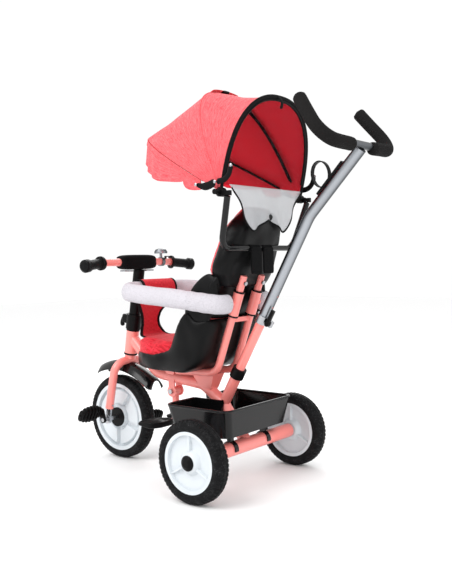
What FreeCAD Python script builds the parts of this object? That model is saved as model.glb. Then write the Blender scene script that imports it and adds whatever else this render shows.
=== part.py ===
import FreeCAD, Part
import math
import os
import Sketcher
from FreeCAD import Placement, Rotation, Vector

# Children's tricycle with a parent push pole, a padded safety ring and a folding canopy.
# It rolls along Y: the front is -Y, its left side is +X and Z is up.  Pieces are laid out
# with the rear axle above Y = 0 and the floor at Z = 0.  At the end all of them move together,
# so that the origin is the middle of the bounding box, on the floor.

SIZES = {
    # wheels and axles
    "rear_radius": 103.0, "rear_rim_radius": 76.0, "rear_tyre_width": 43.0, "rear_track": 432.0,
    "front_radius": 125.0, "front_rim_radius": 101.0, "front_tyre_width": 43.0,
    "wheelbase": 478.0, "rim_ring": 8.0, "web_half": 4.0, "rib_thickness": 6.0,
    "rear_hub_radius": 20.0, "front_hub_radius": 24.0, "cap_radius": 19.0, "cap_height": 9.0,
    "hub_disc_radius": 29.0, "hub_disc_thickness": 4.0, "rear_rod": 10.0, "front_rod": 12.0,
    "running": 0.05, "axle_tube": 38.0, "axle_tube_wall": 3.0, "wheel_gap": 4.0,
    # head, fork, handlebar and cranks
    "head_angle": 10.5, "head_setback": 44.5, "head_bottom": 321.0, "head_length": 68.0,
    "head_tube": 38.0, "head_bore": 31.0, "steerer": 25.0, "bearing_flange": 5.0,
    "fork_tube": 24.0, "fork_half": 59.0, "fork_bend": 38.0, "crown_drop": 12.0,
    "stem_tube": 33.0, "collar_tube": 45.0, "collar_length": 44.0,
    "bar_tube": 22.0, "bar_height": 591.0, "bar_reach": 398.0, "bar_straight": 126.0,
    "bar_sweep": 23.0, "bar_drop": 9.0, "bar_half": 214.0, "bar_bend": 60.0,
    "grip_tube": 28.0, "grip_flange": 40.0, "grip_ball": 36.0, "grip_start": 132.0,
    "pad_half": 69.0, "pad_depth": 50.0, "pad_height": 44.0, "bell_side": 104.0,
    "bell_radius": 20.0, "crank_throw": 26.0, "crank_plane": 77.0, "crank_thickness": 7.0,
    "pedal_length": 78.0, "pedal_width": 54.0, "pedal_thickness": 26.0, "pedal_pin": 9.0,
    "guard_width": 64.0, "guard_thickness": 3.0,
    # main frame and push pole
    "main_tube": 33.0, "socket_tube": 30.0, "socket_length": 96.0, "pole_lean": 30.2,
    "pole_tube": 25.0, "pole_fit": 0.1, "push_tube": 28.6, "push_start": 425.0,
    "bend_height": 690.0, "bend_lean": 44.2, "grip_height": 850.0, "cross_tube": 19.0,
    "foam_tube": 31.0, "handle_half": 160.0,
    # seat and safety ring
    "upright_half": 38.0, "upright_tube": 20.0, "upright_lean": 20.8, "upright_foot": 303.0,
    "upright_top": 548.0, "rail_height": 286.0, "sleeve_tube": 28.0, "sleeve_length": 62.0,
    "sleeve_middle": 476.0, "ring_band": 4.0, "seat_half": 118.0, "seat_wall": 12.0,
    "seat_bottom": 298.0, "back_half": 105.0, "back_shell": 20.0, "back_pad": 22.0,
    "back_top": 713.0, "ring_half": 142.0, "ring_reach": 322.0, "ring_pad_height": 50.0,
    "ring_pad_depth": 34.0, "ring_tube": 14.0, "strap_width": 66.0, "loop_width": 124.0,
    # canopy
    "canopy_half": 168.0, "pivot_back": 70.0, "pivot_height": 750.0, "front_reach": 388.0,
    "front_angle": 29.0, "mid_reach": 303.0, "mid_angle": 66.0, "rear_reach": 245.0,
    "rear_angle": 104.0, "bow_wire": 6.0, "cloth": 2.5, "u_tube": 13.0,
    # basket and footrest
    "basket_half": 146.0, "basket_rim": 216.0, "basket_depth": 72.0, "basket_wall": 3.0,
    "tread_width": 78.0, "tread_length": 64.0, "tread_thickness": 20.0,
    "gap": 0.3,
}


class Dim:
    """A length that knows its number and the spreadsheet expression that gives it."""

    def __init__(self, value, text):
        self.value = value
        self.text = text

    def __float__(self):
        return self.value

    def __add__(self, other):
        other = dim(other)
        return Dim(self.value + other.value, "(%s + %s)" % (self.text, other.text))

    def __sub__(self, other):
        other = dim(other)
        return Dim(self.value - other.value, "(%s - %s)" % (self.text, other.text))

    def __mul__(self, factor):
        return Dim(self.value * factor, "(%s * %.6g)" % (self.text, factor))

    def __truediv__(self, divisor):
        return Dim(self.value / divisor, "(%s / %.6g)" % (self.text, divisor))

    def __neg__(self):
        return Dim(-self.value, "(-1 * %s)" % self.text)

    __radd__ = __add__
    __rmul__ = __mul__


def dim(value):
    return value if isinstance(value, Dim) else Dim(float(value), "(%.6f)" % float(value))


doc = FreeCAD.newDocument("Tricycle")
sheet = doc.addObject("Spreadsheet::Sheet", "Sizes")
for row, (alias, value) in enumerate(SIZES.items(), start=1):
    sheet.set("A%d" % row, alias)
    sheet.set("B%d" % row, str(value))
    sheet.setAlias("B%d" % row, alias)
doc.recompute()


def cell(alias):
    return Dim(float(sheet.get(alias)), "Sizes." + alias)


def num(alias):
    return float(sheet.get(alias))


# ---------------------------------------------------------------- making and placing pieces

subparts = []
UP = Vector(0, 0, 1)
SIDE = Vector(1, 0, 0)
GAP = num("gap")


def keep(piece, label):
    """Names a finished sub-part, which is written to its own file."""
    piece.Label = label
    subparts.append(piece)
    return piece


def along(start, direction, own_axis):
    """A placement that turns a piece's own axis to a direction and moves it to a start."""
    return Placement(start, Rotation(own_axis, direction))


def cylinder(label, radius, length, start, direction):
    piece = doc.addObject("Part::Cylinder", label)
    piece.setExpression("Radius", dim(radius).text)
    piece.setExpression("Height", dim(length).text)
    piece.Placement = along(start, direction, UP)
    return piece


def box(label, size, middle, turn=Rotation(), round_edges=0.0):
    """A block about its middle, with its edges rounded where a radius is given."""
    piece = doc.addObject("Part::Box", label)
    for side, length in zip(("Length", "Width", "Height"), size):
        piece.setExpression(side, dim(length).text)
    half = Vector(*(float(dim(length)) / 2 for length in size))
    piece.Placement = Placement(middle - turn.multVec(half), turn)
    if not round_edges:
        return piece
    doc.recompute()
    rounded = doc.addObject("Part::Fillet", label + "_rounded")
    rounded.Base = piece
    rounded.Edges = [(edge, round_edges, round_edges) for edge in range(1, 13)]
    return rounded


def cut(label, base, *tools):
    for number, tool in enumerate(tools):
        piece = doc.addObject("Part::Cut", "%s_cut%d" % (label, number))
        piece.Base = base
        piece.Tool = tool
        base = piece
    return base


def fuse(label, *pieces):
    piece = doc.addObject("Part::MultiFuse", label + "_joined")
    piece.Shapes = list(pieces)
    piece.Refine = True
    return piece


def group(label, *pieces):
    """Like pieces of one kind, kept as separate solids in one sub-part."""
    together = doc.addObject("Part::Compound", label + "_set")
    together.Links = list(pieces)
    return keep(together, label)


def origin_plane(body, role):
    return next(item for item in body.Origin.OriginFeatures if item.Role == role)


def outline_sketch(body, role, outline):
    """A closed outline of straight lines, each corner held by two bound distances."""
    sketch = body.newObject("Sketcher::SketchObject", body.Name + "_outline")
    sketch.AttachmentSupport = [(origin_plane(body, role), "")]
    sketch.MapMode = "FlatFace"
    corners = [(dim(first), dim(second)) for first, second in outline]
    count = len(corners)
    for here, there in zip(corners, corners[1:] + corners[:1]):
        ends = [Vector(first.value, second.value, 0) for first, second in (here, there)]
        sketch.addGeometry(Part.LineSegment(*ends), False)
    for line in range(count):
        sketch.addConstraint(Sketcher.Constraint("Coincident", line, 2, (line + 1) % count, 1))
    for line, corner in enumerate(corners):
        for kind, distance in zip(("DistanceX", "DistanceY"), corner):
            held = Sketcher.Constraint(kind, -1, 1, line, 1, distance.value)
            sketch.setExpression("Constraints[%d]" % sketch.addConstraint(held), distance.text)
    return sketch


def turned(label, outline, start=Vector(), direction=SIDE):
    """A turned piece: (distance along its axis, radius) corners spun round the axis."""
    body = doc.addObject("PartDesign::Body", label)
    spin = body.newObject("PartDesign::Revolution", label + "_spin")
    spin.Profile = outline_sketch(body, "XY_Plane", outline)
    spin.ReferenceAxis = (spin.Profile[0], ["H_Axis"])
    spin.Angle = 360
    body.Placement = along(start, direction, SIDE)
    return body


def sleeve(label, outer, inner, length, start, direction):
    return turned(label, [(0, inner), (length, inner), (length, outer), (0, outer)],
                  start, direction)


def shape_piece(label, shape):
    piece = doc.addObject("Part::Feature", label)
    piece.Shape = shape
    return piece


def bent_line(points, radii):
    """Straight runs joined by tangent arcs, one radius for each inner corner."""
    edges = []
    start = points[0]
    for before, corner, after, radius in zip(points, points[1:], points[2:], radii):
        inward = (before - corner).normalize()
        outward = (after - corner).normalize()
        half_turn = (math.pi - inward.getAngle(outward)) / 2
        reach = radius * math.tan(half_turn)
        middle = (inward + outward).normalize() * (radius / math.cos(half_turn) - radius)
        edges.append(Part.LineSegment(start, corner + inward * reach).toShape())
        edges.append(Part.Arc(corner + inward * reach, corner + middle,
                              corner + outward * reach).toShape())
        start = corner + outward * reach
    edges.append(Part.LineSegment(start, points[-1]).toShape())
    return Part.Wire(edges)


def swept(points, radii, radius, squash=1.0):
    """A round rod along a bent line; squash gives an oval section, less wide than tall."""
    path = bent_line(points, radii)
    heading = (points[1] - points[0]).normalize()
    across = heading.cross(UP).normalize()
    if squash == 1.0:
        section = Part.Circle(points[0], heading, radius).toShape()
    else:
        tall = across.cross(heading).normalize()
        section = Part.Ellipse(points[0] + tall * radius, points[0] + across * radius * squash,
                               points[0]).toShape()
    return path.makePipeShell([Part.Wire(section)], True, False)


SIDES = (("left", 1), ("right", -1))

# ---------------------------------------------------------------- wheels


def wheel(label, radius, rim_radius, width, hub_radius, bore, middle, ribs, face_caps):
    """A moulded disc wheel with a soft tyre; both turn about an axle along X."""
    half = dim(width) / 2
    web = cell("web_half")
    ring_inside = dim(rim_radius) - cell("rim_ring")
    rim_half = half - 2
    rim = turned(label + "_disc_body", [
        (-rim_half, bore), (rim_half, bore), (rim_half, hub_radius), (web, hub_radius + 3),
        (web, ring_inside - 3), (rim_half - 2, ring_inside), (rim_half - 2, rim_radius),
        (-rim_half + 2, rim_radius), (-rim_half + 2, ring_inside), (-web, ring_inside - 3),
        (-web, hub_radius + 3), (-rim_half, hub_radius)], middle)
    pieces = [rim]
    rib_start = float(dim(hub_radius)) - 1
    rib_length = float(dim(ring_inside)) - rib_start + 1
    rib_depth = float(rim_half) - 5
    for number in range(ribs):
        turn = Rotation(SIDE, 90 + number * 360 / ribs)
        rib = doc.addObject("Part::Box", "%s_rib%d" % (label, number))
        rib.Length = 2 * rib_depth
        rib.setExpression("Height", "Sizes.rib_thickness")
        rib.Width = rib_length
        corner = Vector(-rib_depth, rib_start, -num("rib_thickness") / 2)
        rib.Placement = Placement(middle + turn.multVec(corner), turn)
        pieces.append(rib)
    keep(fuse(label + "_disc", *pieces), label + "_disc")
    shoulder = dim(radius) - 12
    crown = dim(radius) - 3
    tyre = turned(label + "_tyre_body", [
        (-half + 3, rim_radius), (half - 3, rim_radius), (half, rim_radius + 8),
        (half, shoulder), (half - 5, crown), (half - 12, radius), (-half + 12, radius),
        (-half + 5, crown), (-half, shoulder), (-half, rim_radius + 8)], middle)
    keep(tyre, label + "_tyre")
    for name, side in face_caps:
        cap_height = cell("cap_height")
        cap_radius = cell("cap_radius")
        inside = bore + 2
        cap = turned(name, [(0, inside), (0, cap_radius), (2, cap_radius),
                            (cap_height * 0.6, cap_radius * 0.82), (cap_height, cap_radius * 0.45),
                            (cap_height, 0), (cap_height - 2, 0), (cap_height - 2, inside)],
                     middle + Vector(side * float(rim_half), 0, 0), Vector(side, 0, 0))
        keep(cap, name)


REAR_HALF = num("rear_track") / 2
REAR_HUB_BORE = cell("rear_rod") / 2 + cell("running")
for side_name, side in SIDES:
    wheel(side_name + "_rear", cell("rear_radius"), cell("rear_rim_radius"),
          cell("rear_tyre_width"), cell("rear_hub_radius"), REAR_HUB_BORE,
          Vector(side * REAR_HALF, 0, num("rear_radius")), 3, [(side_name + "_hub_cap", side)])

rod_half = cell("rear_track") / 2 + cell("rear_tyre_width") / 2 + 1
keep(cylinder("rear_axle_rod", cell("rear_rod") / 2, rod_half * 2,
              Vector(-float(rod_half), 0, num("rear_radius")), SIDE), "rear_axle_rod")
tube_half = cell("rear_track") / 2 - cell("rear_tyre_width") / 2 - cell("wheel_gap")
front_middle = Vector(0, -num("wheelbase"), num("front_radius"))
FRONT_BORE = cell("front_rod") / 2
wheel("front", cell("front_radius"), cell("front_rim_radius"), cell("front_tyre_width"),
      cell("front_hub_radius"), FRONT_BORE, front_middle, 5, [])
disc_start = num("front_tyre_width") / 2 - 2
discs = [sleeve("hub_disc_" + name, cell("hub_disc_radius"), FRONT_BORE,
                cell("hub_disc_thickness"), front_middle + Vector(side * disc_start, 0, 0),
                Vector(side, 0, 0)) for name, side in SIDES]
group("front_hub_discs", *discs)
front_rod_half = cell("crank_plane") + cell("crank_thickness") / 2
keep(cylinder("front_axle", FRONT_BORE, front_rod_half * 2,
              front_middle - SIDE * float(front_rod_half), SIDE), "front_axle")

# ---------------------------------------------------------------- cranks and pedals

THROW_LEAN = 15.0


def crank_end(side):
    lean = math.radians(THROW_LEAN)
    throw = num("crank_throw")
    return front_middle + Vector(side * num("crank_plane"), -side * throw * math.sin(lean),
                                 side * throw * math.cos(lean))


crank_shapes = []
for side_name, side in SIDES:
    hub = front_middle + SIDE * (side * num("crank_plane"))
    tip = crank_end(side)
    thick = num("crank_thickness")
    across = (tip - hub).normalize().cross(SIDE) * 9
    web_face = Part.Face(Part.makePolygon([hub + across, tip + across, tip - across, hub - across,
                                           hub + across]))
    arm = web_face.extrude(SIDE * thick)
    for centre in (hub, tip):
        arm = arm.fuse(Part.makeCylinder(9, thick, centre, SIDE))
    arm.translate(SIDE * (-thick / 2))
    arm = arm.cut(Part.makeCylinder(float(FRONT_BORE), 4 * thick, hub - SIDE * (2 * thick), SIDE))
    pin_length = num("pedal_length") + 4
    pin_start = tip + SIDE * (side * thick / 2)
    pin = Part.makeCylinder(num("pedal_pin") / 2, pin_length, pin_start, Vector(side, 0, 0))
    crank_shapes.append(arm.fuse(pin).removeSplitter())
    pedal_bore = cell("pedal_pin") / 2 + cell("running")
    block_middle = pin_start + SIDE * (side * (num("pedal_length") / 2 + 2))
    tilt = Rotation(SIDE, 62)
    block = box(side_name + "_block", (cell("pedal_length"), cell("pedal_width"),
                                       cell("pedal_thickness")), block_middle, tilt, 4)
    bore = cylinder(side_name + "_pedal_bore", pedal_bore, cell("pedal_length") + 2,
                    block_middle - SIDE * (num("pedal_length") / 2 + 1), SIDE)
    keep(cut(side_name + "_pedal", block, bore), side_name + "_pedal")
keep(shape_piece("crank_shapes", Part.makeCompound(crank_shapes)), "crank_arms")

# ---------------------------------------------------------------- steering

LEAN = math.radians(num("head_angle"))
HEAD_UP = Vector(0, math.sin(LEAN), math.cos(LEAN))
HEAD_BACK = Vector(0, math.cos(LEAN), -math.sin(LEAN))
HEAD_FOOT = Vector(0, -(num("wheelbase") - num("head_setback")), num("head_bottom"))


def head(up, back=0.0, side=0.0):
    """A point from the foot of the head tube, up the steering axis and behind it."""
    return HEAD_FOOT + HEAD_UP * up + HEAD_BACK * back + SIDE * side


FLANGE = num("bearing_flange")
BEARING_BORE = cell("steerer") / 2 + cell("running")
bearings = []
for name, foot, direction in (("lower_head_bearing", head(0), HEAD_UP),
                              ("upper_head_bearing", head(num("head_length")), -HEAD_UP)):
    bearing = turned(name, [(-cell("bearing_flange"), BEARING_BORE), (14, BEARING_BORE),
                            (14, cell("head_bore") / 2), (0, cell("head_bore") / 2),
                            (0, cell("head_tube") / 2 + 1),
                            (-cell("bearing_flange"), cell("head_tube") / 2 + 1)], foot, direction)
    bearings.append(bearing)
group("head_bearings", *bearings)

crown_foot = head(-FLANGE - GAP)
crown_middle = head(-FLANGE - GAP - num("crown_drop"))
fork_radius = num("fork_tube") / 2
half = num("fork_half")
hub_height = front_middle.z
blade_end = 34.0


def fork_side(side, drop):
    """A point on a blade's centreline, a drop below the crown."""
    share = drop / (crown_middle.z - hub_height)
    return Vector(side * half, crown_middle.y + (front_middle.y - crown_middle.y) * share,
                  crown_middle.z - drop)


blade_low = crown_middle.z - hub_height - blade_end
bow_drop = 6.0
fork_path = [fork_side(-1, blade_low), fork_side(-1, bow_drop), fork_side(1, bow_drop),
             fork_side(1, blade_low)]
fork_bow = swept(fork_path, [num("fork_bend")] * 2, fork_radius)
steerer_top = num("head_length") + FLANGE + GAP + 70
steerer = Part.makeCylinder(num("steerer") / 2, steerer_top + FLANGE + num("crown_drop"),
                            crown_middle, HEAD_UP)
crown_race = Part.makeCylinder(num("head_tube") / 2 - 2, num("crown_drop"), crown_middle, HEAD_UP)
fork = fork_bow.fuse([steerer, crown_race]).removeSplitter()

bracket_half = 13.0
brackets = []
bolts = []
for side_name, side in SIDES:
    bracket_foot = Vector(side * half, front_middle.y, hub_height)
    blade_mouth = fork_side(side, blade_low - 22)
    sheet_side = 6.0
    outline = Part.makePolygon([
        Vector(0, blade_mouth.y - 7, blade_mouth.z), Vector(0, blade_mouth.y + 7, blade_mouth.z),
        Vector(0, front_middle.y + 11, hub_height), Vector(0, front_middle.y - 11, hub_height),
        Vector(0, blade_mouth.y - 7, blade_mouth.z)])
    strip = Part.Face(outline).extrude(SIDE * sheet_side)
    strip.translate(SIDE * (side * half - sheet_side / 2))
    eye = Part.makeCylinder(bracket_half, 10, bracket_foot - SIDE * 5, SIDE)
    pivot_hole = Part.makeCylinder(float(FRONT_BORE) + num("running"), 40,
                                   bracket_foot - SIDE * 20, SIDE)
    bracket = strip.fuse(eye).cut(pivot_hole).removeSplitter()
    brackets.append(bracket)
    bolt_middle = fork_side(side, blade_low - 11)
    bolts.append(Part.makeCylinder(2.5, num("fork_tube") + 4,
                                   bolt_middle - HEAD_BACK * (fork_radius + 2), HEAD_BACK))
for bracket, bolt in zip(brackets, bolts):
    fork = fork.cut(bracket).cut(bolt)
keep(shape_piece("fork_shape", fork), "fork")
keep(shape_piece("bracket_shape", Part.makeCompound(
    [bracket.cut(bolt) for bracket, bolt in zip(brackets, bolts)])), "fork_axle_brackets")

stem_foot = num("head_length") + FLANGE + GAP
COLLAR_TOP = stem_foot + num("collar_length")
bar_middle = Vector(0, -num("bar_reach"), num("bar_height"))
stem_top = (bar_middle - HEAD_FOOT).dot(HEAD_UP) - num("pad_height") / 2 + 2
collar = sleeve("collar_ring", cell("collar_tube") / 2, cell("stem_tube") / 2,
                cell("collar_length"), head(stem_foot), HEAD_UP)
knob = box("collar_knob", (24, 24, 26), head(stem_foot + 25, -30), Rotation(SIDE, -num("head_angle")),
           5)
collar_core = cylinder("collar_core", cell("stem_tube") / 2, cell("collar_length"),
                       head(stem_foot), HEAD_UP)
keep(cut("stem_collar", fuse("stem_collar", collar, knob), collar_core), "stem_collar")
keep(sleeve("stem", cell("stem_tube") / 2, cell("steerer") / 2, dim(stem_top - stem_foot),
            head(stem_foot), HEAD_UP), "stem")

bar_ends = []
for side in (-1, 1):
    bar_ends.append((Vector(side * num("bar_half"), -num("bar_reach") + num("bar_sweep"),
                            num("bar_height") - num("bar_drop")),
                     Vector(side * num("bar_straight"), -num("bar_reach"), num("bar_height"))))
bar_path = [bar_ends[0][0], bar_ends[0][1], bar_ends[1][1], bar_ends[1][0]]
handlebar = swept(bar_path, [num("bar_bend")] * 2, num("bar_tube") / 2)
keep(shape_piece("handlebar_shape", handlebar), "handlebar")

pad_block = box("pad_block", (cell("pad_half") * 2, cell("pad_depth"), cell("pad_height")),
                bar_middle, Rotation(), 12)
pad_core = cylinder("pad_core", cell("bar_tube") / 2, cell("pad_half") * 2 + 2,
                    bar_middle - SIDE * (num("pad_half") + 1), SIDE)
stem_socket = cylinder("pad_stem_socket", cell("stem_tube") / 2, 30, head(stem_top - 30), HEAD_UP)
padding = cut("handlebar_padding", pad_block, pad_core, stem_socket)
plates = []
for side_name, side in SIDES:
    plates.append(box("under_plate_" + side_name, (34, 24, 5), bar_middle
                      + Vector(side * 42, 2, -num("pad_height") / 2 - 2.5 - GAP), Rotation(), 1.5))
group("handlebar_pad", padding, *plates)

grips = []
for side_name, side in SIDES:
    bar_end, bar_knee = bar_ends[0] if side < 0 else bar_ends[1]
    heading = (bar_end - bar_knee).normalize()
    start = bar_knee + heading * (num("grip_start") - num("bar_straight") + num("bar_bend") * 0.16)
    length = dim((bar_end - start).Length)
    tube = cell("bar_tube") / 2
    body_radius = cell("grip_tube") / 2
    ball = cell("grip_ball") / 2
    grip = turned(side_name + "_grip_body", [
        (0, tube), (0, cell("grip_flange") / 2), (5, cell("grip_flange") / 2), (7, body_radius),
        (length - 18, body_radius), (length - 12, ball), (length + 2, ball),
        (length + 7, ball * 0.7), (length + 8, 0), (length, 0), (length, tube)], start, heading)
    grips.append(grip)
group("handlebar_grips", *grips)

BELL_SPOT = bar_middle - SIDE * num("bell_side")
band = sleeve("bell_band", cell("bar_tube") / 2 + 3, cell("bar_tube") / 2, 12,
              BELL_SPOT - SIDE * 6, SIDE)
post = cylinder("bell_post", 4, 12, BELL_SPOT + UP * (num("bar_tube") / 2 + 2), UP)
bell_clamp = fuse("bell_clamp", band, post)
bell_radius = cell("bell_radius")
bell_foot = BELL_SPOT + UP * (num("bar_tube") / 2 + 14)
dome = turned("bell_dome_body", [(0, 0), (0, bell_radius), (6, bell_radius), (12, bell_radius * 0.8),
                                 (15, bell_radius * 0.4), (16, 0)], bell_foot, UP)
group("bell", bell_clamp, dome)
LEVER_PIVOT = BELL_SPOT + Vector(0, num("bar_tube") / 2 + 8, 8)
lever_hub = cylinder("bell_lever_hub", 3.5, 9, LEVER_PIVOT, UP)
lever_arm = box("bell_lever_arm", (26, 5, 3), LEVER_PIVOT + Vector(-14, 0, 7.5), Rotation(), 1)
keep(fuse("bell_lever", lever_hub, lever_arm), "bell_lever")

# The mudguard is a shallow arc that passes just below the fork's crown.
guard_half = num("guard_width") / 2
guard_drop = Vector(0, 0, -num("guard_thickness"))
guard_top = [front_middle + Vector(0, -80, 157),
             crown_middle - UP * (bow_drop + fork_radius + 2.5),
             front_middle + Vector(0, 148, 122)]
guard_under = [point + guard_drop for point in reversed(guard_top)]
guard_edges = [Part.Arc(*guard_top).toShape(),
               Part.LineSegment(guard_top[2], guard_under[0]).toShape(),
               Part.Arc(*guard_under).toShape(),
               Part.LineSegment(guard_under[2], guard_top[0]).toShape()]
guard = Part.Face(Part.Wire(guard_edges)).extrude(SIDE * (2 * guard_half))
guard.translate(SIDE * -guard_half)
guard_screw = Part.makeCylinder(3, 14, head(-FLANGE - GAP - num("crown_drop") - 28), HEAD_UP)
keep(shape_piece("mudguard_shape", guard.cut([fork, guard_screw])), "mudguard")
keep(shape_piece("screw_shapes", Part.makeCompound(bolts + [guard_screw.cut(fork)])),
     "fork_screws")

# ---------------------------------------------------------------- main frame

POLE_LEAN = math.radians(num("pole_lean"))
POLE_UP = Vector(0, math.sin(POLE_LEAN), math.cos(POLE_LEAN))
POLE_FOOT = Vector(0, -72, 209)


def pole(distance):
    """A point up the push pole from where its socket meets the main tube."""
    return POLE_FOOT + POLE_UP * distance


tube_radius = num("main_tube") / 2
AXLE = Vector(0, 0, num("rear_radius"))
main_points = [head(42, 8), Vector(0, -322, 268), Vector(0, -146, 250), Vector(0, -80, 206),
               AXLE + Vector(0, -6, 8)]
main_tube = swept(main_points, [70, 60, 60], tube_radius)
head_tube = Part.makeCylinder(num("head_tube") / 2, num("head_length"), head(0), HEAD_UP)
axle_tube = Part.makeCylinder(num("axle_tube") / 2, 2 * float(tube_half),
                              AXLE - SIDE * float(tube_half), SIDE)
socket = Part.makeCylinder(num("socket_tube") / 2, num("socket_length"), pole(0), POLE_UP)
PLATE_HALF = 13.0
ear_middle = Vector(0, -254, 222)
ears = []
for side in (-1, 1):
    ear = Part.makeCylinder(16, 4, ear_middle, SIDE)
    ear = ear.fuse(Part.makeBox(4, 22, 40, ear_middle + Vector(0, -11, 0)))
    ear.translate(SIDE * (side * (PLATE_HALF + 2) - 2))
    ears.append(ear)
ear_hole = Part.makeCylinder(4, 60, ear_middle - SIDE * 30, SIDE)
rail_z = num("rail_height")
rail_under = rail_z - 4 - GAP
rear_mount = Part.makeLoft([
    Part.makePolygon([Vector(x, y, rail_under) for x, y in
                      ((-24, -168), (24, -168), (24, -92), (-24, -92), (-24, -168))]),
    Part.makePolygon([Vector(x, y, 240) for x, y in
                      ((-15, -146), (15, -146), (15, -108), (-15, -108), (-15, -146))])],
    True, True)
seat_under = num("seat_bottom") - GAP
front_mount = Part.makeLoft([
    Part.makePolygon([Vector(x, y, seat_under) for x, y in
                      ((-22, -288), (22, -288), (22, -236), (-22, -236), (-22, -288))]),
    Part.makePolygon([Vector(x, y, 262) for x, y in
                      ((-12, -268), (12, -268), (12, -250), (-12, -250), (-12, -268))])],
    True, True)
frame = main_tube.fuse([head_tube, axle_tube, socket, rear_mount, front_mount] + ears)
head_bore = Part.makeCylinder(num("head_bore") / 2, num("head_length") + 80, head(-40), HEAD_UP)
END_WALL = 14.0
inner_half = float(tube_half) - END_WALL
axle_bore = Part.makeCylinder(num("axle_tube") / 2 - num("axle_tube_wall"), 2 * inner_half,
                              AXLE - SIDE * inner_half, SIDE)
rod_bore = Part.makeCylinder(num("rear_rod") / 2, 2 * REAR_HALF, AXLE - SIDE * REAR_HALF, SIDE)
pole_bore_radius = num("pole_tube") / 2
pole_bore = Part.makeCylinder(pole_bore_radius, 200, pole(22), POLE_UP)
frame = frame.cut([head_bore, axle_bore, rod_bore, pole_bore, ear_hole]).removeSplitter()
keep(shape_piece("frame_shape", frame), "main_frame")

COLLAR_FROM = num("socket_length") - 16
pole_collar = sleeve("pole_collar_ring", cell("socket_tube") / 2 + 4, cell("socket_tube") / 2, 16,
                     pole(COLLAR_FROM), POLE_UP)
collar_lid = sleeve("pole_collar_lid", cell("socket_tube") / 2 + 4, cell("pole_tube") / 2, 12,
                    pole(COLLAR_FROM + 16), POLE_UP)
keep(fuse("pole_collar", pole_collar, collar_lid), "pole_collar")
POLE_TOP = 410.0
keep(cylinder("pole_inner_tube", cell("pole_tube") / 2, POLE_TOP - 22, pole(22), POLE_UP),
     "pole_inner_tube")

# Seat frame: two uprights on rails that run forward under the seat.
SEAT_LEAN = math.radians(num("upright_lean"))
SEAT_UP = Vector(0, math.sin(SEAT_LEAN), math.cos(SEAT_LEAN))
SEAT_BACK = Vector(0, math.cos(SEAT_LEAN), -math.sin(SEAT_LEAN))


def upright(height, side=1, ahead=0.0):
    """A point on an upright's centreline at a height, or ahead of it."""
    rise = height - num("upright_foot")
    return Vector(side * num("upright_half"), -62 + rise * math.tan(SEAT_LEAN), height) \
        - SEAT_BACK * ahead


upright_radius = num("upright_tube") / 2
uprights = []
for side in (-1, 1):
    knee = upright(rail_z + 4, side)
    rail_end = Vector(side * (num("upright_half") - 6), -215, rail_z)
    uprights.append(swept([rail_end, knee, upright(num("upright_top"), side)], [42],
                          upright_radius))
SLEEVE_LOW = num("sleeve_middle") - num("sleeve_length") / 2 * math.cos(SEAT_LEAN)
bridge_z = SLEEVE_LOW - 14
bridge = Part.makeBox(2 * num("upright_half"), 6, 12,
                      upright(bridge_z, -1) - Vector(0, 3, 6))
rail_bridge = Part.makeBox(2 * num("upright_half") - 8, 40, 4,
                           Vector(-num("upright_half") + 4, -170, rail_z - 4))
seat_frame = uprights[0].fuse([uprights[1], bridge, rail_bridge])
BOLT_HEIGHT = 532.0
BOLT_REACH = 24.0
seat_bolts = []
for side in (-1, 1):
    shank = Part.makeCylinder(3, BOLT_REACH + 12,
                              upright(BOLT_HEIGHT, side) - SEAT_BACK * BOLT_REACH, SEAT_BACK)
    bolt_head = Part.makeCylinder(5.5, 4, upright(BOLT_HEIGHT, side) + SEAT_BACK * 10.5, SEAT_BACK)
    seat_bolts.append(shank.fuse(bolt_head).removeSplitter())
for bolt in seat_bolts:
    seat_frame = seat_frame.cut(bolt)

keep(shape_piece("seat_frame_shape", seat_frame.removeSplitter()), "seat_frame")

BAND = num("ring_band")
rings = []
for side in (-1, 1):
    for offset in (-BAND - GAP, num("sleeve_length") + GAP):
        foot = upright(num("sleeve_middle"), side) + SEAT_UP * (offset - num("sleeve_length") / 2)
        rings.append(Part.makeCylinder(num("sleeve_tube") / 2 + 1, BAND, foot, SEAT_UP).cut(
            Part.makeCylinder(upright_radius, BAND, foot, SEAT_UP)))
keep(shape_piece("sleeve_ring_shapes", Part.makeCompound(rings)), "sleeve_rings")

# ---------------------------------------------------------------- safety ring and strap

SLEEVE_BORE = upright_radius + num("running")
ring_half = num("ring_half")
ring_reach = num("ring_reach")
pad_tall = num("ring_pad_height") / 2
pad_squash = num("ring_pad_depth") / num("ring_pad_height")
RING_END = 1.0


def ring_points(side, start):
    """The bent line of one half ring, from its upright round to the middle of the front."""
    hub = upright(num("sleeve_middle"), side)
    return [Vector(side * start, hub.y, hub.z), Vector(side * 104, hub.y - 2, hub.z),
            Vector(side * ring_half, hub.y - 86, hub.z + 14),
            Vector(side * ring_half, -ring_reach + 30, hub.z + 32),
            Vector(side * 100, -ring_reach, hub.z + 35),
            Vector(side * RING_END, -ring_reach, hub.z + 36)]


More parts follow.
